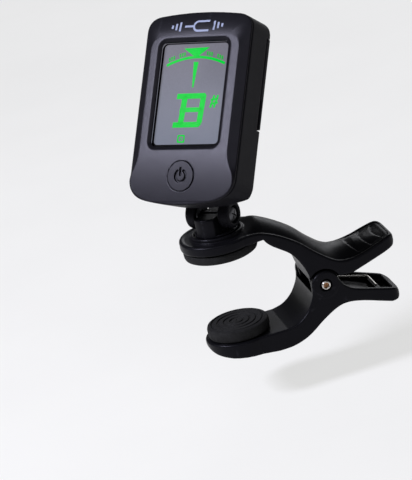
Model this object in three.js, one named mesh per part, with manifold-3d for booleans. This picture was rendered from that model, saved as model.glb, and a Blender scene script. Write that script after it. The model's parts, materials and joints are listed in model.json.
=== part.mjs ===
// Clip-on instrument tuner: a display head on a tilting and swivelling neck, on a sprung clip.
// Millimetres, +Z up. The origin is the middle of the upper jaw pad's contact face.
// +X runs from the jaws to the handles, Y is the width of the clip.
import * as THREE from 'three';
import { mergeVertices } from 'three/addons/utils/BufferGeometryUtils.js';
import Module from 'manifold-3d';

const wasm = await Module();
wasm.setup();

// ---- driving dimensions ----
const GAP = 0.3; // play between pieces that meet

const DISC_RADIUS = 9.45;
const DISC_TOP = 5.0;
const DISC_BOTTOM = 2.5;
const CROWN = 2.0; // height of the arm's crown over its rims
const CROWN_START = 7.2; // distance from the swivel axis where it starts
const PAD_RADIUS = 8.7;
const ARM_END_X = 41.3;
const PIVOT = { x: 21.7, z: -12.7 };
const PIVOT_HOLE = 1.5;
const CHEEK_OUTER = 7.9; // half width of the clip at the pivot
const CHEEK_INNER = 6.5; // inside faces of the lower arm's cheeks
const LUG_INNER = 4.8; // inside faces of the upper arm's lugs
const BOSS_RADIUS = 3.5;
const JAW_GAP = 18; // from pad to pad, as clipped on
const LOWER_PAD_THICK = 3;

const POST_RADIUS = 5.3;
const LIP_INNER = 5.6;
const LIP_OUTER = 6.4;
const LIP_TOP = 5.8;
const TONGUE_HALF = 2.6; // half thickness of the post between the ears
const POST_TOP = 10.4;
const TILT_HEIGHT = 9.8; // height of the tilt axis
const HEAD_YAW = -44; // degrees, where the head points as clipped on
const HEAD_TILT = 35.5; // degrees the head leans back

// The head is described by u (right), v (up) and w (forward) from the middle of the tilt axis.
const HEAD_HALF = 14.6;
const HEAD_TOP = 45.7;
const HEAD_BACK = 6.5;
const SEAM = 14.7; // where front and rear shells meet
const FACE = 16.3;
const WALL = 1.3;
const FACE_HALF = 12.3;
const EAR_INNER = 3.3;
const EAR_OUTER = 6.05;
const EAR_RADIUS = 3.35;
const WINDOW = { u: -0.15, v: 25.5 }; // the middle of the display
const LENS = { width: 19.6, height: 25.8, radius: 1.5, back: 14.95, front: 15.75 };
const LCD = { width: 21.0, height: 26.4, back: 13.2, front: 14.7 };
const BUTTON = { v: 5.7, radius: 3.7 };
const DOOR = { low: 18.7, high: 40.7, top: 7.8 };
const CELL = { v: 29.8, radius: 10.0, thick: 3.2 };
const BOARD = { back: 11.6, front: 12.6 };
const CASE_SCREW = { core: 0.55, head: 1.3, hole: 0.9, well: 1.45, boss: 1.9 };
const TILT_HOLE = 1.1;

// ---- solids ----
function solid(geometry) {
  const bare = geometry.index ? geometry.toNonIndexed() : geometry.clone();
  bare.deleteAttribute('normal');
  bare.deleteAttribute('uv');
  const merged = mergeVertices(bare, 1e-4);
  return new wasm.Manifold(new wasm.Mesh({
    numProp: 3,
    vertProperties: new Float32Array(merged.attributes.position.array),
    triVerts: new Uint32Array(merged.index.array),
  }));
}

function geometryOf(manifold) {
  const mesh = manifold.getMesh();
  const geometry = new THREE.BufferGeometry();
  geometry.setAttribute('position', new THREE.BufferAttribute(mesh.vertProperties, 3));
  geometry.setIndex(new THREE.BufferAttribute(mesh.triVerts, 1));
  return geometry;
}

function shapeOf(points) {
  return new THREE.Shape(points.map(([x, y]) => new THREE.Vector2(x, y)));
}

// A flat outline pushed along its own Z, from one height to another.
function prism(shape, low, high, curveSegments = 12) {
  const geometry = new THREE.ExtrudeGeometry(shape, {
    depth: high - low,
    bevelEnabled: false,
    curveSegments,
  });
  geometry.translate(0, 0, low);
  return solid(geometry);
}

// An outline in X and Z, pushed across the clip from -half to +half.
function acrossClip(shape, half, curveSegments = 12) {
  const geometry = new THREE.ExtrudeGeometry(shape, {
    depth: 2 * half,
    bevelEnabled: false,
    curveSegments,
  });
  geometry.translate(0, 0, -half);
  geometry.rotateX(Math.PI / 2);
  return solid(geometry);
}

function box(x0, x1, y0, y1, z0, z1) {
  const geometry = new THREE.BoxGeometry(x1 - x0, y1 - y0, z1 - z0);
  geometry.translate((x0 + x1) / 2, (y0 + y1) / 2, (z0 + z1) / 2);
  return solid(geometry);
}

// A body of revolution about Z, from pairs of radius and height.
function turned(profile, segments = 32) {
  const geometry = new THREE.LatheGeometry(profile.map(([r, h]) => new THREE.Vector2(r, h)), segments);
  geometry.rotateX(Math.PI / 2);
  return solid(geometry);
}

function drum(radius, low, high, segments = 32) {
  return turned([[0, low], [radius, low], [radius, high], [0, high]], segments);
}

function ring(inner, outer, low, high, segments = 32) {
  return turned([[inner, low], [outer, low], [outer, high], [inner, high], [inner, low]], segments);
}

// The same drum lying along the pivot.
function pivotDrum(radius, y0, y1) {
  return drum(radius, y0, y1).rotate([-90, 0, 0]).translate([PIVOT.x, 0, PIVOT.z]);
}

function roundedRectangle(width, height, radius, u = 0, v = 0) {
  const shape = new THREE.Shape();
  const left = u - width / 2;
  const right = u + width / 2;
  const low = v - height / 2;
  const high = v + height / 2;
  shape.moveTo(left + radius, low);
  shape.lineTo(right - radius, low);
  shape.absarc(right - radius, low + radius, radius, -Math.PI / 2, 0, false);
  shape.lineTo(right, high - radius);
  shape.absarc(right - radius, high - radius, radius, 0, Math.PI / 2, false);
  shape.lineTo(left + radius, high);
  shape.absarc(left + radius, high - radius, radius, Math.PI / 2, Math.PI, false);
  shape.lineTo(left, low + radius);
  shape.absarc(left + radius, low + radius, radius, Math.PI, 1.5 * Math.PI, false);
  return shape;
}

// A body through rings of as many points each, which run the same way round as they advance.
function lofted(rings) {
  const sides = rings[0].length;
  const positions = rings.flat().flatMap((point) => [point.x, point.y, point.z]);
  const indices = [];
  for (let i = 0; i < rings.length - 1; i += 1) {
    for (let k = 0; k < sides; k += 1) {
      const a = i * sides + k;
      const b = i * sides + ((k + 1) % sides);
      indices.push(a, b, b + sides, a, b + sides, a + sides);
    }
  }
  const last = (rings.length - 1) * sides;
  for (let k = 1; k < sides - 1; k += 1) {
    indices.push(0, k + 1, k);
    indices.push(last, last + k, last + k + 1);
  }
  const geometry = new THREE.BufferGeometry();
  geometry.setAttribute('position', new THREE.Float32BufferAttribute(positions, 3));
  geometry.setIndex(indices);
  return solid(geometry);
}

function union(first, ...others) {
  return others.reduce((whole, piece) => whole.add(piece), first);
}

// ---- materials ----
function finish(color, roughness, metalness = 0) {
  return new THREE.MeshStandardMaterial({ color, roughness, metalness });
}

const blackShell = finish(0x1b1a20, 0.5);
const blackClip = finish(0x17161b, 0.42);
const rubber = finish(0x121214, 0.85);
const steel = finish(0xc9c6c0, 0.3, 1);
const darkSteel = finish(0x3a3a3e, 0.4, 1);
const brass = finish(0xb9853f, 0.35, 1);
const copperGold = finish(0xd0a24e, 0.3, 1);
const clearWindow = finish(0xcfd0d8, 0.05);
const lcdGlass = finish(0x9a98a8, 0.2);
const whitePlastic = finish(0xe8e8e4, 0.5);
const boardGreen = finish(0x1f6b3a, 0.5);
const chipBlack = finish(0x101012, 0.6);
const zebraPink = finish(0xc98a8e, 0.8);
const ceramic = finish(0xe6e2d6, 0.6);

function node(name, manifold, material) {
  const mesh = new THREE.Mesh(geometryOf(manifold), material);
  mesh.name = name;
  return mesh;
}

// ---- clip: upper arm ----
function addSpline(shape, points) {
  shape.splineThru(points.map(([x, y]) => new THREE.Vector2(x, y)));
}

// The arm's rims seen from the side, from the disc over the arch to the end of the handle.
const armTop = [[5.5, DISC_TOP], [9, 4.4], [13, 2.5], [17.5, -0.6], [21.5, -4.3], [25.4, -7.2],
  [28.8, -8.1], [32.7, -7.6], [36.8, -6.4], [39.8, -5.9], [ARM_END_X, -6.9]];

function upperArmSide() {
  const side = new THREE.Shape();
  side.moveTo(-10, DISC_BOTTOM);
  side.lineTo(-10, DISC_TOP);
  side.lineTo(...armTop[0]);
  addSpline(side, armTop.slice(1));
  side.lineTo(ARM_END_X, -8.3);
  side.lineTo(28.9, -11.8);
  side.lineTo(24.9, -11.6);
  side.absarc(PIVOT.x, PIVOT.z, 3.1, 0.2, -Math.PI + 0.2, true);
  addSpline(side, [[18.4, -10.4], [17.9, -8.2], [16.6, -5.2], [15, -2.9], [12.5, -0.9], [11, 0.3],
    [9.9, 1.5], [9.3, DISC_BOTTOM]]);
  return side;
}

function upperArmPlan() {
  const plan = new THREE.Shape();
  plan.moveTo(4.4, -8.36);
  addSpline(plan, [[9, -7.5], [14, -7.05], [20, -7.5], [26, -CHEEK_OUTER], [33, -7.5], [39.2, -6.8],
    [ARM_END_X, -5]]);
  plan.lineTo(ARM_END_X, 5);
  addSpline(plan, [[39.2, 6.8], [33, 7.5], [26, CHEEK_OUTER], [20, 7.5], [14, 7.05], [9, 7.5],
    [4.4, 8.36]]);
  plan.absarc(0, 0, DISC_RADIUS, 1.086, -1.086 + 2 * Math.PI, false);
  return plan;
}

function upperArmHollow() {
  const hollow = new THREE.Shape();
  hollow.moveTo(20.2, -7.6);
  addSpline(hollow, [[22.5, -7.6], [25.4, -9.1], [28.8, -9.9], [32.7, -9.4], [36.8, -8.2], [39.6, -7.7]]);
  hollow.lineTo(39.6, -20);
  hollow.lineTo(20.2, -20);
  return hollow;
}

// Between its rims the arm is crowned, from just behind the post to the end of the handle.
function crown() {
  const { smoothstep, lerp } = THREE.MathUtils;
  const curve = new THREE.SplineCurve(armTop.map(([x, z]) => new THREE.Vector2(x, z)));
  const steps = 8;
  const root = 0.8; // depth to which the crown runs into the arm
  const rings = curve.getPoints(34).map((point) => {
    const rise = CROWN * smoothstep(point.x, 5, 9) * (1 - smoothstep(point.x, 32, ARM_END_X));
    const half = lerp(6.2, 4.4, smoothstep(point.x, 30, ARM_END_X));
    const over = Array.from({ length: steps + 1 }, (_, k) => {
      const side = 1 - (2 * k) / steps;
      return new THREE.Vector3(point.x, half * side, point.y + (rise + 0.05) * (1 - side * side) - 0.05);
    });
    return [...over, new THREE.Vector3(point.x, -half, point.y - root),
      new THREE.Vector3(point.x, half, point.y - root)];
  });
  return lofted(rings).subtract(drum(CROWN_START, DISC_TOP - root - 1, 12, 32));
}

function upperArm() {
  const cheekClearance = BOSS_RADIUS + 0.4;
  let arm = acrossClip(upperArmSide(), 10, 6).intersect(prism(upperArmPlan(), -20, 6, 8));
  arm = arm.add(crown());
  const hollow = acrossClip(upperArmHollow(), 10, 5)
    .intersect(box(15, 45, -5.4, 5.4, -25, 0));
  arm = arm.subtract(hollow);
  arm = arm.subtract(pivotDrum(BOSS_RADIUS, -LUG_INNER, LUG_INNER));
  const lugs = acrossClip(upperArmSide(), 10, 6)
    .intersect(union(
      box(18, 27, LUG_INNER, CHEEK_INNER - GAP, -16, -8),
      box(18, 27, -CHEEK_INNER + GAP, -LUG_INNER, -16, -8),
    ));
  arm = arm.add(lugs);
  for (const side of [-1, 1]) {
    const low = side < 0 ? -10 : CHEEK_INNER - GAP;
    arm = arm.subtract(pivotDrum(cheekClearance, low, low + 10 - CHEEK_INNER + GAP));
  }
  arm = arm.subtract(pivotDrum(PIVOT_HOLE + GAP, -12, 12));
  arm = arm.add(ring(LIP_INNER, LIP_OUTER, DISC_TOP - 0.2, LIP_TOP, 40));
  arm = arm.subtract(drum(1.4, 0, 8, 20));
  arm = arm.subtract(drum(3.2, 0, DISC_BOTTOM + 1.3, 24));
  return arm;
}

// ---- clip: lower arm ----
const LOWER_FACE = -JAW_GAP - LOWER_PAD_THICK; // inner face of the lower jaw, under its pad

function lowerArmSide() {
  const side = new THREE.Shape();
  side.moveTo(-9, LOWER_FACE);
  side.lineTo(8, LOWER_FACE);
  addSpline(side, [[10.5, -21], [12.7, -20.5], [14.4, -19.6], [15.95, -18.2], [17.1, -16.5],
    [17.9, -14.8], [18.22, -13.1]]);
  side.absarc(PIVOT.x, PIVOT.z, BOSS_RADIUS, Math.PI + 0.115, 0.15, true);
  addSpline(side, [[26.4, -14.5], [28.1, -16.2], [30.5, -17.05], [34.9, -18.25], [38.6, -19.3]]);
  addSpline(side, [[39.9, -20.1], [40.1, -21.4], [39.3, -22.4], [37.5, -22.5]]);
  addSpline(side, [[34.3, -21.3], [30.7, -19.9], [27.6, -19], [25.4, -18.8], [23.4, -19.3],
    [21.2, -20.4], [19, -21.7], [17.2, -23], [15.2, -24.2], [13, -25.1], [10.6, -25.7], [7.5, -25.9]]);
  side.lineTo(-4, -24.6);
  side.quadraticCurveTo(-9, -24, -9, LOWER_FACE);
  return side;
}

function lowerArmPlan() {
  const plan = new THREE.Shape();
  plan.moveTo(3, -7.9);
  plan.lineTo(26, -CHEEK_OUTER);
  addSpline(plan, [[33, -6.9], [38.4, -6.2], [40.2, -4.4]]);
  plan.lineTo(40.2, 4.4);
  addSpline(plan, [[38.4, 6.2], [33, 6.9], [26, CHEEK_OUTER]]);
  plan.lineTo(3, 7.9);
  plan.absarc(0, 0, 8.45, 1.207, -1.207 + 2 * Math.PI, false);
  return plan;
}

// Everything above the handle's floor, between its side walls.
function lowerArmTrough() {
  const trough = new THREE.Shape();
  trough.moveTo(19.7, -8);
  trough.lineTo(19.7, -15.6);
  addSpline(trough, [[21, -17.2], [23.4, -17.2], [25.4, -17.05], [27.6, -17.4], [30.7, -18.4],
    [34.3, -19.8], [37.4, -20.9]]);
  trough.lineTo(38.5, -20.6);
  trough.lineTo(38.5, -8);
  return trough;
}

// The jaw is cored out from below, so that it has walls of one thickness.
function lowerArmCore() {
  return shapeOf([[-2, -30], [-2, -22.8], [9.5, -22.9], [13.4, -22.2], [15.8, -20.6], [17.3, -18.9],
    [22, -24], [22, -30]]);
}

function lowerArm() {
  let arm = acrossClip(lowerArmSide(), 10, 6).intersect(prism(lowerArmPlan(), -30, 0, 8));
  const troughPlan = new THREE.Shape();
  troughPlan.moveTo(15, -CHEEK_INNER);
  troughPlan.lineTo(26, -CHEEK_INNER);
  troughPlan.lineTo(33, -5.5);
  troughPlan.lineTo(38.4, -4.8);
  troughPlan.lineTo(38.4, 4.8);
  troughPlan.lineTo(33, 5.5);
  troughPlan.lineTo(26, CHEEK_INNER);
  troughPlan.lineTo(15, CHEEK_INNER);
  arm = arm.subtract(acrossClip(lowerArmTrough(), 10, 6).intersect(prism(troughPlan, -30, 0)));
  arm = arm.subtract(acrossClip(lowerArmCore(), 6.3));
  arm = arm.subtract(pivotDrum(BOSS_RADIUS + 0.2, -CHEEK_INNER, CHEEK_INNER));
  arm = arm.add(box(34.4, 35.8, -5.4, 5.4, -20.6, -18.95)); // seat for the spring's bent end
  arm = arm.subtract(pivotDrum(PIVOT_HOLE + GAP, -12, 12));
  return arm;
}

// ---- clip: fittings ----
function upperPad() {
  const edge = 0.8;
  return turned([[0, 0], [PAD_RADIUS - edge, 0], [PAD_RADIUS, edge], [PAD_RADIUS + 0.2, DISC_BOTTOM - GAP],
    [0, DISC_BOTTOM - GAP]], 40);
}

function lowerPad() {
  const face = -JAW_GAP;
  return turned([[0, LOWER_FACE + GAP], [7.6, LOWER_FACE + GAP], [7.6, face - 0.8], [6.9, face],
    [0, face]], 36);
}

function pivotRivet() {
  const flange = CHEEK_OUTER + 0.1;
  const profile = [[0, -flange - 0.5], [1.0, -flange - 0.5], [1.3, -flange - 0.75], [2.1, -flange - 0.5],
    [2.2, -flange], [PIVOT_HOLE, -flange], [PIVOT_HOLE, flange], [2.2, flange],
    [2.1, flange + 0.5], [0, flange + 0.75]];
  const rivet = turned(profile, 28);
  const socket = drum(0.75, -flange - 2, -flange + 1.2, 6);
  return rivet.subtract(socket).rotate([-90, 0, 0]).translate([PIVOT.x, 0, PIVOT.z]);
}

function swivelScrew() {
  return turned([[0, DISC_BOTTOM + 0.1], [2.4, DISC_BOTTOM + 0.1], [2.4, DISC_BOTTOM + 0.6],
    [1.0, DISC_BOTTOM + 0.6], [1.0, 8.6], [0, 8.6]], 24);
}

function swivelWasher() {
  return ring(1.25, 2.9, DISC_BOTTOM + 0.8, DISC_BOTTOM + 1.1, 24);
}

// One wire: a leg under the upper handle, the coil round the rivet, a leg in the lower handle
// and, at the end of each leg, a short bend across the clip.
function torsionSpring() {
  const wire = 0.28;
  const coil = 1.95;
  const turns = 9;
  const halfCoil = 4;
  const points = [];
  const upperAngle = THREE.MathUtils.degToRad(90);
  const lowerAngle = THREE.MathUtils.degToRad(-105.3);
  const at = (angle, y) => new THREE.Vector3(
    PIVOT.x + coil * Math.cos(angle), y, PIVOT.z + coil * Math.sin(angle));
  const along = (start, angle, length) => new THREE.Vector3(
    start.x + length * Math.cos(angle), start.y, start.z + length * Math.sin(angle));
  const upperLeg = upperAngle - Math.PI / 2;
  const lowerLeg = lowerAngle + Math.PI / 2;
  const upperStart = at(upperAngle, -halfCoil);
  const lowerStart = at(lowerAngle, halfCoil);
  const upperEnd = along(upperStart, upperLeg, 8.6);
  const lowerEnd = along(lowerStart, lowerLeg, 14.2);
  points.push(new THREE.Vector3(upperEnd.x, 2.6, upperEnd.z));
  points.push(upperEnd);
  points.push(along(upperStart, upperLeg, 0.6));
  const steps = turns * 10;
  const sweep = turns * 2 * Math.PI + (lowerAngle - upperAngle) + 2 * Math.PI;
  for (let i = 0; i <= steps; i += 1) {
    const part = i / steps;
    points.push(at(upperAngle + sweep * part, -halfCoil + 2 * halfCoil * part));
  }
  points.push(along(lowerStart, lowerLeg, 0.6));
  points.push(lowerEnd);
  points.push(new THREE.Vector3(lowerEnd.x, -3.2, lowerEnd.z));
  return { points, wire };
}

// A wire swept through its points, with a mitre at each of them.
function sweptWire(points, radius, sides = 5) {
  let across = new THREE.Vector3(0.3, 0.2, 1);
  const rings = points.map((point, i) => {
    const before = i > 0 ? point.clone().sub(points[i - 1]).normalize() : null;
    const after = i < points.length - 1 ? points[i + 1].clone().sub(point).normalize() : null;
    const along = (before && after ? before.clone().add(after) : (before ?? after).clone()).normalize();
    across = across.clone().addScaledVector(along, -across.dot(along)).normalize();
    const other = along.clone().cross(across);
    return Array.from({ length: sides }, (_, k) => {
      const angle = (2 * Math.PI * k) / sides;
      return point.clone()
        .addScaledVector(across, radius * Math.cos(angle))
        .addScaledVector(other, radius * Math.sin(angle));
    });
  });
  return lofted(rings);
}

// ---- neck ----
function swivelPost() {
  const floor = DISC_TOP + GAP;
  const shoulder = TILT_HEIGHT - EAR_RADIUS - GAP;
  let post = turned([[0, floor], [POST_RADIUS, floor], [POST_RADIUS, POST_TOP - 0.3],
    [POST_RADIUS - 0.3, POST_TOP], [0, POST_TOP]], 40);
  for (const side of [-1, 1]) {
    const inner = side * TONGUE_HALF;
    const outer = side * 8;
    post = post.subtract(box(Math.min(inner, outer), Math.max(inner, outer), -8, 8, shoulder, 12));
  }
  const tiltHole = drum(TILT_HOLE, -8, 8, 20).rotate([0, 90, 0]).translate([0, 0, TILT_HEIGHT]);
  return post.subtract(tiltHole).subtract(drum(1.2, 4, 8.8, 20));
}

function frictionWasher(side) {
  const middle = side * (TONGUE_HALF + EAR_INNER) / 2;
  return ring(1.2, 2.6, -0.15, 0.15, 24).rotate([0, 90, 0]).translate([middle, 0, TILT_HEIGHT]);
}

// ---- head: shells ----
// The head's outline, walked in ten stretches so that two outlines can be joined point to point.
const OUTLINE_STEPS = [8, 5, 4, 1, 5, 8, 5, 1, 4, 5];

function walked(outline) {
  return outline.curves.flatMap((curve, i) => Array.from(
    { length: OUTLINE_STEPS[i] },
    (_, k) => curve.getPoint(k / OUTLINE_STEPS[i]),
  ));
}

function headOutline(inset = 0) {
  const half = HEAD_HALF - inset;
  const top = HEAD_TOP - inset;
  const outline = new THREE.Shape();
  outline.moveTo(-half + 4.4, 0.05 + inset);
  outline.quadraticCurveTo(0, -2.2 + inset, half - 4.4, 0.05 + inset);
  outline.quadraticCurveTo(half, 1.2 + inset, half, 5.2 + inset);
  outline.lineTo(half, 12);
  outline.lineTo(half, top - 4.6);
  outline.quadraticCurveTo(half, top - 0.9, half - 4.4, top - 0.6);
  outline.quadraticCurveTo(0, top + 0.55, -half + 4.4, top - 0.6);
  outline.quadraticCurveTo(-half, top - 0.9, -half, top - 4.6);
  outline.lineTo(-half, 12);
  outline.lineTo(-half, 5.2 + inset);
  outline.quadraticCurveTo(-half, 1.2 + inset, -half + 4.4, 0.05 + inset);
  return walked(outline);
}

// The raised face: narrow beside the display and as wide as the head under the button.
function faceOutline() {
  const flare = HEAD_HALF - 0.25;
  const top = 39.4;
  const corner = 3;
  const face = new THREE.Shape();
  face.moveTo(-flare + 4.2, 0.4);
  face.quadraticCurveTo(0, -1.5, flare - 4.2, 0.4);
  face.quadraticCurveTo(flare, 1.45, flare, 4.6);
  face.bezierCurveTo(flare, 6.8, FACE_HALF, 8, FACE_HALF, 12);
  face.lineTo(FACE_HALF, top - corner);
  face.quadraticCurveTo(FACE_HALF, top, FACE_HALF - corner, top);
  face.lineTo(-FACE_HALF + corner, top);
  face.quadraticCurveTo(-FACE_HALF, top, -FACE_HALF, top - corner);
  face.lineTo(-FACE_HALF, 12);
  face.bezierCurveTo(-FACE_HALF, 8, -flare, 6.8, -flare, 4.6);
  face.quadraticCurveTo(-flare, 1.45, -flare + 4.2, 0.4);
  return walked(face);
}

// A block between two outlines of as many points, at two heights.
function loft(lower, upper, low, high) {
  const count = lower.length;
  const positions = [
    ...lower.flatMap((point) => [point.x, point.y, low]),
    ...upper.flatMap((point) => [point.x, point.y, high]),
  ];
  const indices = [];
  for (let i = 0; i < count; i += 1) {
    const next = (i + 1) % count;
    indices.push(i, next, count + next, i, count + next, count + i);
  }
  THREE.ShapeUtils.triangulateShape(lower, []).forEach(([a, b, c]) => indices.push(a, c, b));
  THREE.ShapeUtils.triangulateShape(upper, [])
    .forEach(([a, b, c]) => indices.push(count + a, count + b, count + c));
  const geometry = new THREE.BufferGeometry();
  geometry.setAttribute('position', new THREE.Float32BufferAttribute(positions, 3));
  geometry.setIndex(indices);
  return solid(geometry);
}

function headPrism(outline, low, high) {
  return loft(outline, outline, low, high);
}

const caseScrewPlaces = [[-11, 4.6], [11, 4.6], [-9.2, 42.4], [9.2, 42.4]];

function frontShell() {
  let shell = headPrism(headOutline(), SEAM + 0.15, SEAM + 0.35);
  shell = shell.add(loft(headOutline(), faceOutline(), SEAM + 0.35, FACE));
  shell = shell.subtract(prism(roundedRectangle(22.4, 27.6, 1.2, WINDOW.u, WINDOW.v), 14, 14.9));
  shell = shell.subtract(prism(
    roundedRectangle(LENS.width + 0.6, LENS.height + 0.6, LENS.radius, WINDOW.u, WINDOW.v), 14.8, 15.9));
  const bezel = new THREE.ExtrudeGeometry(
    roundedRectangle(LENS.width - 1.0, LENS.height - 1.0, LENS.radius, WINDOW.u, WINDOW.v),
    {
      depth: 0.2,
      bevelEnabled: true,
      bevelThickness: 0.6,
      bevelSize: 1.0,
      bevelSegments: 1,
      curveSegments: 6,
    },
  );
  bezel.translate(0, 0, FACE + 0.05);
  shell = shell.subtract(solid(bezel));
  shell = shell.subtract(prism(
    roundedRectangle(LENS.width - 0.8, LENS.height - 0.8, LENS.radius, WINDOW.u, WINDOW.v), 15.8, 17));
  shell = shell.subtract(drum(BUTTON.radius + 0.25, 14, 18, 32).translate([0, BUTTON.v, 0]));
  for (const [u, v] of caseScrewPlaces) {
    shell = shell.add(ring(0.75, 1.25, 12.9, SEAM + 0.5, 14).translate([u, v, 0]));
  }
  return shell;
}

// The clevis on the back: two ears round the tilt axis, joined where the post's tongue never comes.
function clevis() {
  const ear = new THREE.Shape();
  ear.moveTo(EAR_RADIUS, 0);
  ear.lineTo(EAR_RADIUS, 1.4);
  ear.lineTo(HEAD_BACK + 0.6, 1.6);
  ear.lineTo(HEAD_BACK + 0.6, 8.6);
  ear.lineTo(HEAD_BACK - 0.6, 8.6);
  ear.lineTo(-1.9, 2.75);
  ear.absarc(0, 0, EAR_RADIUS, 2.175, 2 * Math.PI, false);
  // Pushed along u: the shape's own axes are w and v.
  const geometry = new THREE.ExtrudeGeometry(ear, {
    depth: 2 * EAR_OUTER,
    bevelEnabled: false,
    curveSegments: 16,
  });
  geometry.applyMatrix4(new THREE.Matrix4().set(
    0, 0, -1, EAR_OUTER,
    0, 1, 0, 0,
    1, 0, 0, 0,
    0, 0, 0, 1,
  ));
  return solid(geometry).subtract(alongTiltAxis(POST_RADIUS + 0.5, -EAR_INNER, EAR_INNER, 36));
}

function alongTiltAxis(radius, u0, u1, segments = 24) {
  return drum(radius, u0, u1, segments).rotate([0, 90, 0]);
}

function rearShell() {
  let shell = loft(headOutline(0.9), headOutline(), HEAD_BACK, HEAD_BACK + 1.2);
  shell = shell.add(headPrism(headOutline(), HEAD_BACK + 1.2, SEAM - 0.15));
  shell = shell.subtract(headPrism(headOutline(WALL), DOOR.top + GAP + WALL, 20));
  const lowerHalf = box(-20, 20, -5, DOOR.low - WALL - GAP, 0, 20);
  shell = shell.subtract(headPrism(headOutline(WALL), HEAD_BACK + WALL, 20).intersect(lowerHalf));
  // The battery door's recess runs round the back edges; the cell's well opens into it.
  shell = shell.subtract(box(-20, 20, DOOR.low - GAP, DOOR.high + GAP, 4, DOOR.top + GAP));
  shell = shell.subtract(drum(CELL.radius + 0.4, 4, 14, 40).translate([0, CELL.v, 0]));
  for (const [u, v] of caseScrewPlaces) {
    shell = shell.add(drum(CASE_SCREW.boss, DOOR.top + GAP, 12.4, 16).translate([u, v, 0]));
    shell = shell.subtract(drum(CASE_SCREW.hole, 4, 14, 14).translate([u, v, 0]));
    shell = shell.subtract(drum(CASE_SCREW.well, 4, HEAD_BACK + 1.4, 16).translate([u, v, 0]));
  }
  shell = shell.add(clevis());
  shell = shell.subtract(alongTiltAxis(TILT_HOLE, -8, 8, 20));
  shell = shell.subtract(alongTiltAxis(2.1, EAR_OUTER - 1.3, 8, 24));
  shell = shell.subtract(alongTiltAxis(2.3, -8, -EAR_OUTER + 1.3, 6));
  return shell;
}

function batteryDoor() {
  return loft(headOutline(0.75), headOutline(-0.1), HEAD_BACK - 0.15, DOOR.top)
    .intersect(box(-20, 20, DOOR.low, DOOR.high, 4, 9));
}

// ---- head: display, electronics and fittings ----
function displayLens() {
  return prism(roundedRectangle(LENS.width, LENS.height, LENS.radius, WINDOW.u, WINDOW.v),
    LENS.back, LENS.front, 6);
}

function lcdPanel() {
  return prism(roundedRectangle(LCD.width, LCD.height, 0.3, WINDOW.u, WINDOW.v),
    LCD.back + 0.9, LCD.front, 2);
}

function lightGuide() {
  return box(-9.4, 9.8, 13.4, 37.6, LCD.back - 0.2, LCD.back + 0.6);
}

function backlightLed() {
  return box(-1.2, 1.6, 38.1, 39.1, BOARD.front + 0.2, BOARD.front + 1.1);
}

function zebraStrip() {
  return box(-8.5, 8.9, 12.3, 13.1, BOARD.front + 0.2, LCD.back + 0.6);
}

function circuitBoard() {
  let board = headPrism(headOutline(2.0), BOARD.back, BOARD.front);
  for (const [u, v] of caseScrewPlaces) {
    board = board.subtract(drum(CASE_SCREW.boss + 0.4, BOARD.back - 1, BOARD.front + 1, 14)
      .translate([u, v, 0]));
  }
  return board;
}

function controllerChip() {
  return box(-4.4, 4.4, 12.9, 18.2, BOARD.back - 1.3, BOARD.back - 0.2);
}

function quartzCrystal() {
  return prism(roundedRectangle(6, 2.2, 1, 8.8, 15.4), BOARD.back - 1.6, BOARD.back - 0.2, 5);
}

function tactSwitch() {
  const base = box(-2.2, 2.2, BUTTON.v - 2.2, BUTTON.v + 2.2, BOARD.front + 0.15, BOARD.front + 0.8);
  return base.add(drum(1.0, BOARD.front + 0.7, BOARD.front + 1.1, 16).translate([0, BUTTON.v, 0]));
}

function powerButton() {
  const flange = 4.6;
  return turned([[0, 14.3], [flange, 14.3], [flange, 14.55], [BUTTON.radius, 14.55],
    [BUTTON.radius, FACE + 0.1], [BUTTON.radius - 0.5, FACE + 0.45], [0, FACE + 0.55]], 32)
    .translate([0, BUTTON.v, 0]);
}

function piezoDisc() {
  return drum(4.6, HEAD_BACK + WALL + 0.3, HEAD_BACK + WALL + 0.7, 28).translate([0, 6.4, 0]);
}

function coinCell() {
  const back = DOOR.top + 0.25;
  const front = back + CELL.thick;
  return turned([[0, back], [CELL.radius - 0.5, back], [CELL.radius, back + 0.5], [CELL.radius, front - 0.3],
    [CELL.radius - 1.2, front], [0, front]], 40).translate([0, CELL.v, 0]);
}

function negativeContact() {
  return box(-5, 5, CELL.v - 1.2, CELL.v + 1.2, BOARD.back - 0.27, BOARD.back - 0.05);
}

function positiveClip() {
  const plate = box(-10.9, -10.6, CELL.v - 3, CELL.v + 3, DOOR.top + 1.7, BOARD.back - 0.3);
  const foot = box(-12.2, -10.6, CELL.v - 3, CELL.v + 3, BOARD.back - 0.5, BOARD.back - 0.25);
  return plate.add(foot);
}

function caseScrew() {
  const { core, head } = CASE_SCREW;
  const back = HEAD_BACK + 0.2;
  const shoulder = back + 0.95;
  return turned([[0, back], [head, back], [head, shoulder], [core, shoulder], [core, 14.2], [0, 14.5]], 14);
}

function tiltScrew() {
  const head = turned([[0, -11.2], [0.85, -11.2], [0.85, -0.8], [1.75, -0.8], [1.75, 0.1], [0, 0.35]], 24);
  const cross = union(box(-1.1, 1.1, -0.2, 0.2, -0.25, 1), box(-0.2, 0.2, -1.1, 1.1, -0.25, 1));
  return head.subtract(cross).rotate([0, 90, 0]).translate([EAR_OUTER - 0.4, 0, 0]);
}

function tiltNut() {
  return ring(1.05, 2.0, -EAR_OUTER + 0.1, -EAR_OUTER + 1.05, 6).rotate([0, 90, 0]);
}

// ---- assembly ----
const tuner = new THREE.Group();

tuner.add(node('upper_arm', upperArm(), blackClip));
tuner.add(node('upper_pad', upperPad(), rubber));
tuner.add(node('pivot_rivet', pivotRivet(), steel));
tuner.add(node('swivel_screw', swivelScrew(), steel));
tuner.add(node('swivel_washer', swivelWasher(), steel));
const spring = torsionSpring();
tuner.add(node('torsion_spring', sweptWire(spring.points, spring.wire), steel));
tuner.add(node('lower_arm', lowerArm(), blackClip));
tuner.add(node('lower_pad', lowerPad(), rubber));

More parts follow.
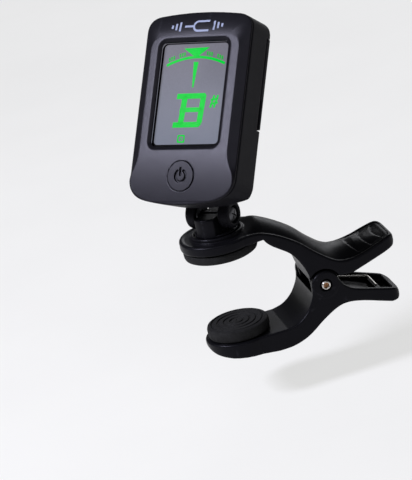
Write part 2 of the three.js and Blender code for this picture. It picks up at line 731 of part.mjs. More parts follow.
const neck = new THREE.Group();
neck.rotation.z = THREE.MathUtils.degToRad(HEAD_YAW);
tuner.add(neck);
neck.add(node('swivel_post', swivelPost(), blackClip));
neck.add(node('friction_washer_left', frictionWasher(-1), darkSteel));
neck.add(node('friction_washer_right', frictionWasher(1), darkSteel));

const head = new THREE.Group();
head.position.z = TILT_HEIGHT;
head.rotation.x = THREE.MathUtils.degToRad(90 - HEAD_TILT);
neck.add(head);
head.add(node('front_shell', frontShell(), blackShell));
head.add(node('rear_shell', rearShell(), blackShell));
head.add(node('battery_door', batteryDoor(), blackShell));
head.add(node('display_window', displayLens(), clearWindow));
head.add(node('lcd_panel', lcdPanel(), lcdGlass));
head.add(node('light_guide', lightGuide(), whitePlastic));
head.add(node('backlight_led', backlightLed(), ceramic));
head.add(node('zebra_strip', zebraStrip(), zebraPink));
head.add(node('circuit_board', circuitBoard(), boardGreen));
head.add(node('controller_chip', controllerChip(), chipBlack));
head.add(node('quartz_crystal', quartzCrystal(), steel));
head.add(node('tact_switch', tactSwitch(), darkSteel));
head.add(node('power_button', powerButton(), blackShell));
head.add(node('piezo_disc', piezoDisc(), brass));
head.add(node('coin_cell', coinCell(), steel));
head.add(node('negative_contact', negativeContact(), copperGold));
head.add(node('positive_clip', positiveClip(), copperGold));
caseScrewPlaces.forEach(([u, v], i) => {
  const screw = node(`case_screw_${i + 1}`, caseScrew(), darkSteel);
  screw.position.set(u, v, 0);
  head.add(screw);
});
head.add(node('tilt_screw', tiltScrew(), steel));
head.add(node('tilt_nut', tiltNut(), steel));

export default tuner;
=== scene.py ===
"""Clip-on instrument tuner: a display head on a tilting, swivelling neck, on a sprung clip.

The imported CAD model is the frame. The moulded parts are modelled here as fields of distance, which
give the mould's rounded edges, and become meshes where the field is zero. Sizes are in millimetres,
and every mesh is brought to metres as it is made.
"""
import json
import math

import bmesh
import bpy
import numpy as np
from mathutils import Matrix, Vector


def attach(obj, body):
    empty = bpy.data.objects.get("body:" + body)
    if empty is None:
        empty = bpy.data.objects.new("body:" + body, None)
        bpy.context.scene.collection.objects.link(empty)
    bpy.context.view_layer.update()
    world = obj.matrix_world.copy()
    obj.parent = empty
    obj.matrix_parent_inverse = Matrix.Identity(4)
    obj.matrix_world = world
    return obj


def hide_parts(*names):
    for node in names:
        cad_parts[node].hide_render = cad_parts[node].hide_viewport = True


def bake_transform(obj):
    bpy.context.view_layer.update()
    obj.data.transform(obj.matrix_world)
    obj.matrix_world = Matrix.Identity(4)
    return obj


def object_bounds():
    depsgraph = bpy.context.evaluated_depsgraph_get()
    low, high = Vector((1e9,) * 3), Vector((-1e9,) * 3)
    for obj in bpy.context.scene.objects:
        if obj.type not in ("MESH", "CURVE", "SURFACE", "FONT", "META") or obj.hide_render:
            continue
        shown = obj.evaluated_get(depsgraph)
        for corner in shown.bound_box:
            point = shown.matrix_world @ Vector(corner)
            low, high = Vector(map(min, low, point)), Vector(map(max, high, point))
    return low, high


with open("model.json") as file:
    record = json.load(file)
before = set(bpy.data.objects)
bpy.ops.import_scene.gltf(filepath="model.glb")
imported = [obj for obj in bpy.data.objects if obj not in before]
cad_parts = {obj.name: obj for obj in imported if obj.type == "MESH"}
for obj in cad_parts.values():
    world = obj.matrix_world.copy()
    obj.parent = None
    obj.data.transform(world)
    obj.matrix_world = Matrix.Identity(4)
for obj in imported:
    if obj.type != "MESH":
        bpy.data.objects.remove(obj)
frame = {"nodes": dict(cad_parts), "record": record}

CAD_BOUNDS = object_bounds()
MM = 0.001

# ---- places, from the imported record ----
JOINTS = {joint["name"]: joint for joint in frame["record"]["behaviour"]["joints"]}
PIVOT = Vector(JOINTS["clamp"]["pos_m"]) / MM
TILT = Vector(JOINTS["head_tilt"]["pos_m"]) / MM
ACROSS = -Vector(JOINTS["head_tilt"]["axis"]).normalized()
FORWARD = -Vector(JOINTS["power_press"]["axis"]).normalized()
UPWARD = FORWARD.cross(ACROSS).normalized()

CLIP_PLACE = Matrix.Identity(4)
# The head is drawn in u (across), v (up) and w (forward), from the middle of the tilt axis.
HEAD_PLACE = Matrix.Translation(TILT) @ Matrix((ACROSS, UPWARD, FORWARD)).transposed().to_4x4()
# The neck is drawn with its own x along the tilt axis.
NECK_SIDE = Vector((0, 0, 1)).cross(ACROSS).normalized()
NECK_PLACE = Matrix((ACROSS, NECK_SIDE, Vector((0, 0, 1)))).transposed().to_4x4()

# ---- driving sizes of the clip ----
DISC_RADIUS = 9.45
DISC_TOP = 5.0
DISC_BOTTOM = 2.5
CHEEK_OUTER = 7.9
CHEEK_INNER = 6.5
LUG_INNER = 4.8
BOSS_RADIUS = 3.5
PLAY = 0.3
JAW_FACE = -21.0
LOWER_PAD_FACE = -18.0
RIM_WIDTH = 0.85
GROOVE_DEPTH = 0.22
CROWN_ALONG = ((4, 8, 10, 19, 24, 27, 32, 36, 39, 41), (1.2, 1.8, 2.1, 2.1, 1.7, 1.75, 1.7, 0.7, 0.25, 0.2))
CROWN_START = 6.0
GRIP_STEPS = (30.0, 33.6, 37.0)
GRIP_DEPTH = 0.42

# ---- driving sizes of the neck and head ----
POST_RADIUS = 5.3
POST_TOP = 10.4
TONGUE_HALF = 2.6
HEAD_HALF = 14.6
HEAD_TOP = 45.7
HEAD_BACK = 6.5
SEAM = 14.7
FACE = 16.3
WALL = 1.3
FACE_HALF = 12.3
BEVEL_DROP = 1.12
FOOT_START = 12.0
FOOT_DROP = 1.2
EAR_INNER = 3.3
EAR_OUTER = 6.05
EAR_RADIUS = 3.35
WINDOW_U = -0.15
WINDOW_V = 25.5
LENS_HALF = (9.8, 12.9)
OPENING_MIDDLE = (-0.15, 25.65)
OPENING_HALF = (9.1, 12.55)
LCD_MIDDLE = (-0.45, 25.82)
LCD_HALF = (8.9, 12.24)
BUTTON_V = 5.7
BUTTON_RADIUS = 3.55
BUTTON_PROUD = 0.16
BUTTON_GAP = 0.03
DOOR_LOW = 18.7
DOOR_HIGH = 40.7
DOOR_TOP = 7.8
CELL_V = 29.8
CELL_RADIUS = 10.0
SWING_ROOM = 12.0  # the lower jaw dips this far under its rest place at its limits
CASE_SCREWS = ((-11, 4.6), (11, 4.6), (-9.2, 42.4), (9.2, 42.4))


# ---- fields of distance ----
def smooth_curve(points, steps=10):
    """A curve through the points (uniform Catmull-Rom)."""
    p = np.array(points, float)
    p = np.vstack([p[:1], p, p[-1:]])
    t = np.arange(steps)[:, None] / steps
    out = []
    for a, b, c, d in zip(p[:-3], p[1:-2], p[2:-1], p[3:]):
        m0 = (c - a) / 2
        m1 = (d - b) / 2
        out.append((2 * t**3 - 3 * t**2 + 1) * b + (t**3 - 2 * t**2 + t) * m0
                   + (3 * t**2 - 2 * t**3) * c + (t**3 - t**2) * m1)
    return np.vstack(out + [p[-1:]])


def arc(cx, cy, radius, start, end, steps=24):
    turn = np.radians(np.linspace(start, end, steps + 1))
    return np.column_stack([cx + radius * np.cos(turn), cy + radius * np.sin(turn)])


def polygon(outline, a, b):
    """Distance to a closed outline in the plane of a and b, negative inside."""
    a, b = np.broadcast_arrays(a, b)
    nearest = np.full(a.shape, np.inf)
    inside = np.zeros(a.shape, bool)
    points = np.array(outline, float)
    for (x0, y0), (x1, y1) in zip(points, np.roll(points, -1, axis=0)):
        dx, dy = x1 - x0, y1 - y0
        length = dx * dx + dy * dy
        if length < 1e-12:
            continue
        along = np.clip(((a - x0) * dx + (b - y0) * dy) / length, 0, 1)
        nearest = np.minimum(nearest, (a - x0 - along * dx) ** 2 + (b - y0 - along * dy) ** 2)
        if dy:
            crosses = (y0 > b) != (y1 > b)
            inside ^= crosses & (a < x0 + dx * (b - y0) / dy)
    distance = np.sqrt(nearest)
    return np.where(inside, -distance, distance)


def meet(a, b, edge=0.0):
    """What both hold, with the edge between them rounded."""
    if not edge:
        return np.maximum(a, b)
    return np.maximum(a, b) + np.maximum(edge - np.abs(a - b), 0) ** 2 / (4 * edge)


def join(a, b, fillet=0.0):
    return -meet(-a, -b, fillet)


def cut(a, b, edge=0.0):
    return meet(a, -b, edge)


def slab(x, low, high):
    return np.maximum(low - x, x - high)


def disc(a, b, radius, at=(0, 0)):
    return np.hypot(a - at[0], b - at[1]) - radius


def rounded_box(a, b, half_a, half_b, radius, at=(0, 0)):
    qa = np.abs(a - at[0]) - half_a + radius
    qb = np.abs(b - at[1]) - half_b + radius
    return np.hypot(np.maximum(qa, 0), np.maximum(qb, 0)) + np.minimum(np.maximum(qa, qb), 0) - radius


def ease(t):
    t = np.clip(t, 0, 1)
    return t * t * (3 - 2 * t)


CORNERS = np.array([(i, j, k) for i in (0, 1) for j in (0, 1) for k in (0, 1)])
EDGES = [(m, n) for m in range(8) for n in range(m + 1, 8)
         if np.abs(CORNERS[m] - CORNERS[n]).sum() == 1]


def skin(field, low, high, pitch):
    """The surface where the field is zero: a vertex in each cell that it crosses, and a quad across
    each grid edge that it crosses."""
    low = np.array(low, float) - 2 * pitch
    counts = np.ceil((np.array(high, float) + 2 * pitch - low) / pitch).astype(int) + 1
    x, y, z = (low[i] + pitch * np.arange(counts[i]) for i in range(3))
    values = field(x[:, None, None], y[None, :, None], z[None, None, :]).astype(np.float32)
    inside = values < 0
    cells = tuple(c - 1 for c in counts)
    filled = np.zeros(cells, np.uint8)
    for i, j, k in CORNERS:
        filled += inside[i:i + cells[0], j:j + cells[1], k:k + cells[2]]
    at = np.argwhere((filled > 0) & (filled < 8))
    number = np.full(cells, -1, np.int64)
    number[tuple(at.T)] = np.arange(len(at))
    corner = np.stack([values[tuple((at + c).T)] for c in CORNERS], axis=1)
    total = np.zeros((len(at), 3))
    crossed = np.zeros(len(at))
    for m, n in EDGES:
        a, b = corner[:, m], corner[:, n]
        hit = (a < 0) != (b < 0)
        part = np.where(hit, a / np.where(hit, a - b, 1), 0)[:, None]
        total += np.where(hit[:, None], CORNERS[m] + part * (CORNERS[n] - CORNERS[m]), 0)
        crossed += hit
    vertices = low + pitch * (at + total / crossed[:, None])
    faces = []
    for axis in range(3):
        one, other = (axis + 1) % 3, (axis + 2) % 3
        span = [slice(1, c - 1) for c in counts]
        span[axis] = slice(0, counts[axis] - 1)
        ahead = list(span)
        ahead[axis] = slice(1, counts[axis])
        here, there = inside[tuple(span)], inside[tuple(ahead)]
        start = np.array([s.start for s in span])
        for enters in (True, False):
            hits = np.argwhere((here != there) & (here == enters)) + start
            if not len(hits):
                continue
            step_a = np.eye(3, dtype=int)[one]
            step_b = np.eye(3, dtype=int)[other]
            ring = [hits - step_a - step_b, hits - step_b, hits, hits - step_a]
            quad = np.stack([number[tuple(r.T)] for r in ring], axis=1)
            faces.append(quad if enters else quad[:, ::-1])
    return vertices, np.vstack(faces)


# ---- meshes ----
CREASE = 35  # degrees between faces over which an edge is sharp


def placed(name, data):
    """A new object in the scene that shows the data."""
    obj = bpy.data.objects.new(name, data)
    bpy.context.scene.collection.objects.link(obj)
    return obj


def mesh_object(name, vertices, faces, place, smooth=True):
    mesh = bpy.data.meshes.new(name)
    mesh.from_pydata(np.asarray(vertices).tolist(), [], np.asarray(faces).tolist()
                     if isinstance(faces, np.ndarray) else faces)
    mesh.transform(Matrix.Scale(MM, 4) @ place)
    mesh.update()
    if smooth:
        mesh.shade_smooth()
    return placed(name, mesh)


def apply_modifiers(obj):
    bpy.context.view_layer.update()
    graph = bpy.context.evaluated_depsgraph_get()
    done = bpy.data.meshes.new_from_object(obj.evaluated_get(graph))
    obj.modifiers.clear()
    obj.data = done


def moulded(name, field, low, high, pitch, place, keep=0.4):
    """A moulded part from its field. The flat stretches are thinned out, to keep this share of faces."""
    vertices, faces = skin(field, low, high, pitch * (1))
    obj = mesh_object(name, vertices, faces, place)
    if keep < 1:
        thin = obj.modifiers.new("thin", "DECIMATE")
        thin.ratio = keep
        apply_modifiers(obj)
    obj.data.shade_smooth()
    return obj


def turned(name, profile, place, segments=64, crease=CREASE):
    """A lathed piece about its own Z, from pairs of radius and height, low to high."""
    vertices = []
    faces = []
    rings = []
    for radius, height in profile:
        if radius < 1e-6:
            rings.append([len(vertices)])
            vertices.append((0, 0, height))
            continue
        rings.append(list(range(len(vertices), len(vertices) + segments)))
        for i in range(segments):
            angle = 2 * math.pi * i / segments
            vertices.append((radius * math.cos(angle), radius * math.sin(angle), height))
    for lower, upper in zip(rings, rings[1:]):
        for i in range(segments):
            j = (i + 1) % segments
            corners = [lower[i % len(lower)], lower[j % len(lower)],
                       upper[j % len(upper)], upper[i % len(upper)]]
            unique = list(dict.fromkeys(corners))
            if len(unique) > 2:
                faces.append(unique)
    obj = mesh_object(name, vertices, faces, place)
    tidy = bmesh.new()
    tidy.from_mesh(obj.data)
    bmesh.ops.remove_doubles(tidy, verts=tidy.verts, dist=1e-8)
    bmesh.ops.recalc_face_normals(tidy, faces=tidy.faces)
    tidy.to_mesh(obj.data)
    tidy.free()
    obj.data.set_sharp_from_angle(angle=math.radians(crease))
    return obj


def carve(obj, tool):
    """Cut the tool out of the object."""
    cutter = obj.modifiers.new("cut", "BOOLEAN")
    cutter.operation = "DIFFERENCE"
    cutter.solver = "EXACT"
    cutter.object = tool
    apply_modifiers(obj)
    bpy.data.objects.remove(tool)
    obj.data.set_sharp_from_angle(angle=math.radians(CREASE))
    return obj


def prism(name, outline, low, high, place, bevel=0.0):
    """A flat outline pushed along its own Z, with its edges rounded over."""
    count = len(outline)
    vertices = [(x, y, low) for x, y in outline] + [(x, y, high) for x, y in outline]
    faces = [list(range(count))[::-1], list(range(count, 2 * count))]
    faces += [[i, (i + 1) % count, count + (i + 1) % count, count + i] for i in range(count)]
    obj = mesh_object(name, vertices, faces, place, smooth=False)
    if bevel:
        edge = obj.modifiers.new("edge", "BEVEL")
        edge.width = bevel * MM
        edge.segments = 3
        edge.limit_method = "ANGLE"
        apply_modifiers(obj)
    obj.data.shade_smooth()
    obj.data.set_sharp_from_angle(angle=math.radians(CREASE))
    return obj


def rectangle(half_a, half_b):
    return [(-half_a, -half_b), (half_a, -half_b), (half_a, half_b), (-half_a, half_b)]


def joined(name, pieces):
    """Several objects as one mesh."""
    whole = bmesh.new()
    for piece in pieces:
        whole.from_mesh(piece.data)
        bpy.data.objects.remove(piece)
    mesh = bpy.data.meshes.new(name)
    whole.to_mesh(mesh)
    whole.free()
    return placed(name, mesh)


def lying(x, y, z):
    """A place whose own Z runs along the clip's +Y."""
    return Matrix.Translation((x, y, z)) @ Matrix.Rotation(-math.pi / 2, 4, "X")


# ---- materials ----
EDGE_WEAR = (0.016, 0.016, 0.02)
PANEL_GLOW = 5.4
SEGMENT_GLOW = 2.0


class Nodes:
    """A material's node tree, built up from its Principled shader."""

    def __init__(self, name):
        self.material = bpy.data.materials.new(name)
        self.material.use_nodes = True
        self.tree = self.material.node_tree
        self.shader = self.tree.nodes["Principled BSDF"]
        self.where = self.add("ShaderNodeTexCoord").outputs["Object"]

    def add(self, kind, **settings):
        made = self.tree.nodes.new(kind)
        for key, value in settings.items():
            if hasattr(made, key) and key not in made.inputs:
                setattr(made, key, value)
            else:
                made.inputs[key].default_value = value
        return made

    def link(self, source, target):
        self.tree.links.new(source, target)

    def noise(self, size_mm, detail=3.0, rough=0.55, where=None):
        made = self.add("ShaderNodeTexNoise", Scale=1 / (size_mm * MM), Detail=detail, Roughness=rough)
        self.link(where or self.where, made.inputs["Vector"])
        return made.outputs["Fac"]

    def spread(self, fac, low, high, near=0.3, far=0.7):
        """The factor, stretched from near..far to low..high."""
        ends = {"From Min": near, "From Max": far, "To Min": low, "To Max": high}
        made = self.add("ShaderNodeMapRange", **ends)
        self.link(fac, made.inputs["Value"])
        return made.outputs["Result"]

    def mix(self, fac, a, b):
        made = self.add("ShaderNodeMix", data_type="RGBA")
        for socket, value in ((6, a), (7, b)):
            if isinstance(value, tuple):
                made.inputs[socket].default_value = (*value, 1)
            else:
                self.link(value, made.inputs[socket])
        if isinstance(fac, float):
            made.inputs[0].default_value = fac
        else:
            self.link(fac, made.inputs[0])
        return made.outputs[2]

    def surface(self, color, rough, specular=0.5, glow=0.0):
        """Give the shader its colour, roughness, gloss and glow. Hands back the material."""
        self.link(color, self.shader.inputs["Base Color"])
        self.link(rough, self.shader.inputs["Roughness"])
        self.shader.inputs["Specular IOR Level"].default_value = specular
        if glow:
            self.link(color, self.shader.inputs["Emission Color"])
            self.shader.inputs["Emission Strength"].default_value = glow
        return self.material

    def bump(self, height, depth_mm, strength=1.0, after=None):
        made = self.add("ShaderNodeBump", Strength=strength, Distance=depth_mm * MM)
        self.link(height, made.inputs["Height"])
        if after:
            self.link(after, made.inputs["Normal"])
        self.link(made.outputs["Normal"], self.shader.inputs["Normal"])
        return made.outputs["Normal"]


def plastic(name, dark, light, grain_mm, depth_mm, rough, specular):
    """Moulded ABS: spark-eroded grain, faint clouding, and edges burnished by handling."""
    nodes = Nodes(name)
    clouds = nodes.noise(4.0, 4)
    body = nodes.mix(nodes.spread(clouds, 0, 1), dark, light)
    edges = nodes.add("ShaderNodeNewGeometry").outputs["Pointiness"]
    worn = nodes.add("ShaderNodeMath", operation="MULTIPLY")
    nodes.link(nodes.spread(edges, 0, 1, 0.54, 0.62), worn.inputs[0])
    nodes.link(nodes.spread(nodes.noise(0.9, 4), 0.1, 0.8), worn.inputs[1])
    fine = nodes.bump(nodes.noise(grain_mm, 2, 0.6), depth_mm, 0.6)
    nodes.bump(nodes.noise(grain_mm * 5, 2), depth_mm * 2, 0.15, after=fine)
    nodes.shader.inputs["Specular Tint"].default_value = (0.86, 0.85, 1.0, 1)
    return nodes.surface(nodes.mix(worn.outputs[0], body, EDGE_WEAR),
                         nodes.spread(nodes.noise(1.3, 5), rough - 0.02, rough + 0.02), specular)


def rubber(name, shade):
    nodes = Nodes(name)
    dusty = tuple(1.7 * c + 0.002 for c in shade)
    nodes.bump(nodes.noise(0.18, 3), 0.02, 0.7)
    return nodes.surface(nodes.mix(nodes.spread(nodes.noise(1.5, 5), 0, 1), shade, dusty),
                         nodes.spread(nodes.noise(0.5, 4), 0.72, 0.92), 0.25)


def metal(name, color, rough, brush=(1, 1, 1), brush_mm=0.3, stain=0.75):
    """Worked metal: fine lines stretched along one way, and a faint patchy tarnish."""
    nodes = Nodes(name)
    stretch = nodes.add("ShaderNodeMapping", Scale=brush)
    nodes.link(nodes.where, stretch.inputs["Vector"])
    lines = nodes.noise(brush_mm, 4, 0.6, stretch.outputs["Vector"])
    tarnish = nodes.spread(nodes.noise(1.1, 5), 0, 1, 0.35, 0.75)
    nodes.bump(lines, 0.006, 0.5)
    nodes.shader.inputs["Metallic"].default_value = 1.0
    return nodes.surface(nodes.mix(tarnish, color, tuple(stain * c for c in color)),
                         nodes.spread(lines, rough - 0.06, rough + 0.1))


def speckled(name, a, b, size_mm, rough=0.5, depth_mm=0.01, specular=0.5):
    """A plain moulded, fired or coated finish, with a mottle of two shades."""
    nodes = Nodes(name)
    nodes.bump(nodes.noise(size_mm * 0.4, 3), depth_mm, 0.6)
    return nodes.surface(nodes.mix(nodes.spread(nodes.noise(size_mm, 4), 0, 1), a, b),
                         nodes.spread(nodes.noise(size_mm * 2, 3), rough - 0.06, rough + 0.06), specular)


def circuit(name):
    """Solder mask with copper tracks under it."""
    nodes = Nodes(name)
    tracks = nodes.add("ShaderNodeTexBrick", offset=0.5, Scale=420, Color1=(0.012, 0.11, 0.04, 1),
                       Color2=(0.014, 0.13, 0.048, 1), Mortar=(0.03, 0.22, 0.075, 1))
    tracks.inputs["Mortar Size"].default_value = 0.035
    nodes.link(nodes.where, tracks.inputs["Vector"])
    nodes.bump(tracks.outputs["Fac"], 0.03, 0.5)
    return nodes.surface(tracks.outputs["Color"], nodes.spread(nodes.noise(0.6), 0.28, 0.42))


def display_glass(name):
    """The clear window: only its gloss shows, more of it at a slant."""
    nodes = Nodes(name)
    tree = nodes.tree
    clear = nodes.add("ShaderNodeBsdfTransparent")
    gloss = nodes.add("ShaderNodeBsdfGlossy", Color=(0.1, 0.1, 0.11, 1))
    nodes.link(nodes.spread(nodes.noise(2.5, 4), 0.12, 0.2), gloss.inputs["Roughness"])
    scratches = nodes.add("ShaderNodeBump", Strength=0.15, Distance=0.01 * MM)
    nodes.link(nodes.noise(0.8, 4), scratches.inputs["Height"])
    nodes.link(scratches.outputs["Normal"], gloss.inputs["Normal"])
    slant = nodes.add("ShaderNodeFresnel", IOR=1.12)
    both = nodes.add("ShaderNodeMixShader")
    nodes.link(slant.outputs[0], both.inputs[0])
    nodes.link(clear.outputs[0], both.inputs[1])
    nodes.link(gloss.outputs[0], both.inputs[2])
    tree.links.new(both.outputs[0], tree.nodes["Material Output"].inputs["Surface"])
    tree.nodes.remove(nodes.shader)
    return nodes.material


def head_height(nodes, low_v, high_v):
    """From 0 to 1 as the head's v goes from low to high."""
    along = nodes.add("ShaderNodeVectorMath", operation="DOT_PRODUCT")
    nodes.link(nodes.where, along.inputs[0])
    along.inputs[1].default_value = UPWARD
    base = UPWARD.dot(TILT) * MM
    return nodes.spread(along.outputs["Value"], 0, 1, base + low_v * MM, base + high_v * MM)


def lcd_glass(name):
    """Grey polariser over the lit panel: cooler and lighter low down, warmer above."""
    nodes = Nodes(name)
    rise = head_height(nodes, 13, 38)
    tint = nodes.mix(rise, (0.0296, 0.0325, 0.0410), (0.0265, 0.0260, 0.0305))
    mottle = nodes.mix(nodes.spread(nodes.noise(0.5, 4), 0, 0.35), tint, (0.033, 0.033, 0.041))
    nodes.bump(nodes.noise(0.15), 0.004, 0.4)
    return nodes.surface(mottle, nodes.spread(nodes.noise(1.5), 0.3, 0.45), 0.0, PANEL_GLOW)


def lit_segment(name, darker, lighter):
    nodes = Nodes(name)
    green = nodes.mix(nodes.spread(nodes.noise(0.7, 4), 0, 1), darker, lighter)
    return nodes.surface(green, nodes.spread(nodes.noise(0.4), 0.4, 0.55), 0.0, SEGMENT_GLOW)


CASE_PLASTIC = plastic("case_abs", (0.0052, 0.0050, 0.0066), (0.0068, 0.0066, 0.0086), 0.16, 0.018,
                       0.35, 0.115)
REAR_PLASTIC = plastic("rear_case_abs", (0.0050, 0.0048, 0.0062), (0.0064, 0.0062, 0.0080), 0.2, 0.03,
                       0.52, 0.09)
CLIP_PLASTIC = plastic("clip_abs", (0.0026, 0.0026, 0.0034), (0.0036, 0.0036, 0.0046), 0.22, 0.010,
                       0.36, 0.09)
BUTTON_PLASTIC = plastic("button_abs", (0.0042, 0.0041, 0.0052), (0.0056, 0.0054, 0.0068), 0.16, 0.018,
                         0.43, 0.14)
PAD_RUBBER = rubber("pad_rubber", (0.002, 0.002, 0.0024))
BRIGHT_STEEL = metal("bright_steel", (0.62, 0.60, 0.57), 0.27)
SPRING_STEEL = metal("spring_steel", (0.60, 0.58, 0.54), 0.24, (1, 0.2, 1), 0.2)
RIVET_CORE = metal("rivet_copper", (0.36, 0.19, 0.10), 0.42, stain=0.5)
DARK_STEEL = metal("dark_steel", (0.10, 0.10, 0.11), 0.38)
CELL_STEEL = metal("cell_steel", (0.66, 0.65, 0.63), 0.3, (1, 1, 0.2), 0.25)
CONTACT_GOLD = metal("contact_gold", (0.72, 0.50, 0.22), 0.3)
PIEZO_BRASS = metal("piezo_brass", (0.60, 0.42, 0.17), 0.33, (0.2, 1, 1), 0.3)
CRYSTAL_CAN = metal("crystal_can", (0.64, 0.64, 0.63), 0.25, (1, 0.3, 1), 0.2)
WHITE_PLASTIC = speckled("white_plastic", (0.78, 0.78, 0.75), (0.70, 0.70, 0.68), 0.8)
CERAMIC = speckled("ceramic", (0.75, 0.70, 0.55), (0.82, 0.78, 0.66), 0.3)
ZEBRA = speckled("zebra_rubber", (0.55, 0.26, 0.27), (0.42, 0.18, 0.2), 0.2, 0.8)
CHIP_BLACK = speckled("chip_black", (0.006, 0.006, 0.007), (0.012, 0.012, 0.013), 0.25, 0.55)
# Near-black and almost glossless: painted shade for the gap between the window and the LCD.
GAP_SHADE_BLACK = speckled("painted_gap_shade", (0.0015, 0.0015, 0.0018), (0.0025, 0.0025, 0.003), 0.3, 0.8, 0.004,
                      0.02)
SWITCH_BODY = speckled("switch_body", (0.02, 0.02, 0.022), (0.035, 0.035, 0.038), 0.3, 0.5)
PRINT_INK = speckled("print_ink", (0.20, 0.23, 0.34), (0.24, 0.27, 0.39), 0.35, 0.5, 0.004, 0.2)
SOLDER_MASK = circuit("solder_mask")
CLEAR_WINDOW = display_glass("clear_window")
LCD_GLASS = lcd_glass("lcd_glass")
LIT_SEGMENT = lit_segment("lit_segment", (0.0, 0.18, 0.012), (0.0, 0.20, 0.014))
DIM_SEGMENT = lit_segment("dim_segment", (0.006, 0.13, 0.014), (0.006, 0.15, 0.016))


def dress(obj, body, slot, *materials, stands_for=()):
    """Give a piece its materials and its body, and hide the CAD nodes it stands for. The slot is not used.
    """
    obj.data.materials.clear()
    for material in materials:
        obj.data.materials.append(material)
    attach(obj, body)
    if stands_for:
        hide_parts(*stands_for)
    return obj


# ---- clip: upper arm ----
ARM_TOP = smooth_curve([(5.5, 5.0), (9, 4.4), (13, 2.5), (17.5, -0.6), (21.5, -4.4), (25.4, -7.3),
                        (28.8, -8.1), (32.7, -7.6), (36.8, -6.4), (39.8, -5.6), (41.3, -6.1)])
ARM_THROAT = smooth_curve([(18.4, -10.4), (17.9, -8.2), (16.6, -5.2), (15, -2.9), (12.5, -0.9),
                           (11.0, 0.3), (9.9, 1.5), (9.3, 2.5)])
ARM_PLAN = smooth_curve([(4.4, -8.36), (9, -7.5), (14, -7.05), (20, -7.5), (26, -7.9), (33, -7.5),
                         (38.6, -6.8), (40.7, -5.4), (41.3, -3.2)])
HANDLE_HOLLOW = smooth_curve([(20.2, -7.6), (22.5, -7.6), (25.4, -9.1), (28.8, -9.9), (32.7, -9.4),
                              (36.8, -8.2), (39.6, -7.7)])


def arm_underside():
    """The arm's side outline with everything above it filled, so that it bounds only from below."""
    below = [(41.3, 12), (41.3, -7.6), (40.6, -8.6), (28.9, -11.8), (24.9, -11.6)]
    boss = arc(PIVOT.x, PIVOT.z, 3.1, 11, -169)
    return np.vstack([[(-10, 12)], below, boss, ARM_THROAT, [(-10, DISC_BOTTOM)]])


def arm_plan():
    near = ARM_PLAN
    far = ARM_PLAN[::-1] * (1, -1)
    return np.vstack([near, far, arc(0, 0, DISC_RADIUS, 62, 298, 60)])


def arm_rise(x, y, inset):
    """How far the top stands over its rim: a groove inside the rim, the crown, and the grip's steps."""
    from_post = np.hypot(x, y)
    half = np.interp(x, ARM_PLAN[:, 0], -ARM_PLAN[:, 1])
    across = np.clip((inset - RIM_WIDTH - 0.35) / np.maximum(half - RIM_WIDTH - 0.35, 1), 0, 1)
    crown = np.interp(x, CROWN_ALONG[0], CROWN_ALONG[1])
    crown = (crown + GROOVE_DEPTH) * (1 - (1 - across) ** 2.2)
    crown = crown * ease((x + 1) / 8) * (0.35 + 0.65 * ease((from_post - CROWN_START) / 4))
    bow = 2.4 * (y / 7) ** 2
    scales = np.zeros(np.broadcast(x, y).shape)
    for at in GRIP_STEPS:
        along = x - bow - at
        scales = scales - GRIP_DEPTH * ease(along / 0.25) * np.exp(-np.maximum(along, 0) / 1.7)
    groove = GROOVE_DEPTH * ease((inset - RIM_WIDTH) / 0.45)
    return crown - groove + scales * ease((inset - RIM_WIDTH - 0.5) / 1.2)


def upper_arm_field(x, y, z):
    plan = polygon(arm_plan(), x, y)
    under = polygon(arm_underside(), x, z)
    top = np.interp(x, ARM_TOP[:, 0], ARM_TOP[:, 1], left=DISC_TOP)
    slope = np.gradient(top.ravel(), x.ravel()).reshape(top.shape)
    over = (z - top - arm_rise(x, y, -plan)) / np.sqrt(1 + slope**2)
    body = meet(meet(over, plan, 0.55), under, 0.7)
    hollow = polygon(np.vstack([HANDLE_HOLLOW, [(39.6, -25), (20.2, -25)]]), x, z)
    body = cut(body, meet(hollow, np.abs(y) - 5.4, 0.4), 0.35)
    spring_room = disc(x, z, BOSS_RADIUS, (PIVOT.x, PIVOT.z))
    body = cut(body, np.maximum(spring_room, np.abs(y) - LUG_INNER))
    lug = meet(under, np.maximum(slab(x, 18, 27), slab(z, -16, -8)))
    lug = np.maximum(lug, slab(np.abs(y), LUG_INNER, CHEEK_INNER - PLAY))
    body = join(body, lug)
    cheek_room = disc(x, z, BOSS_RADIUS + 0.4, (PIVOT.x, PIVOT.z))
    body = cut(body, np.maximum(cheek_room, CHEEK_INNER - PLAY - np.abs(y)), 0.25)
    body = cut(body, disc(x, z, 1.8, (PIVOT.x, PIVOT.z)))
    lip = meet(np.abs(np.hypot(x, y) - 6.0) - 0.42, slab(z, DISC_TOP - 0.8, 5.85), 0.5)
    body = join(body, lip, 0.3)
    well = np.maximum(np.hypot(x, y) - 5.6, DISC_TOP - 0.1 - z)
    body = cut(body, well)
    body = cut(body, np.maximum(np.hypot(x, y) - 1.4, -z))
    return cut(body, np.maximum(np.hypot(x, y) - 3.2, z - DISC_BOTTOM - 1.3))


def build_upper_arm():
    arm = moulded("upper_arm_shell", upper_arm_field, (-9.5, -9.5, -15.9), (41.4, 9.5, 8), 0.2, CLIP_PLACE)
    dress(arm, "clip", "clip_plastic", CLIP_PLASTIC, stands_for=["upper_arm"])


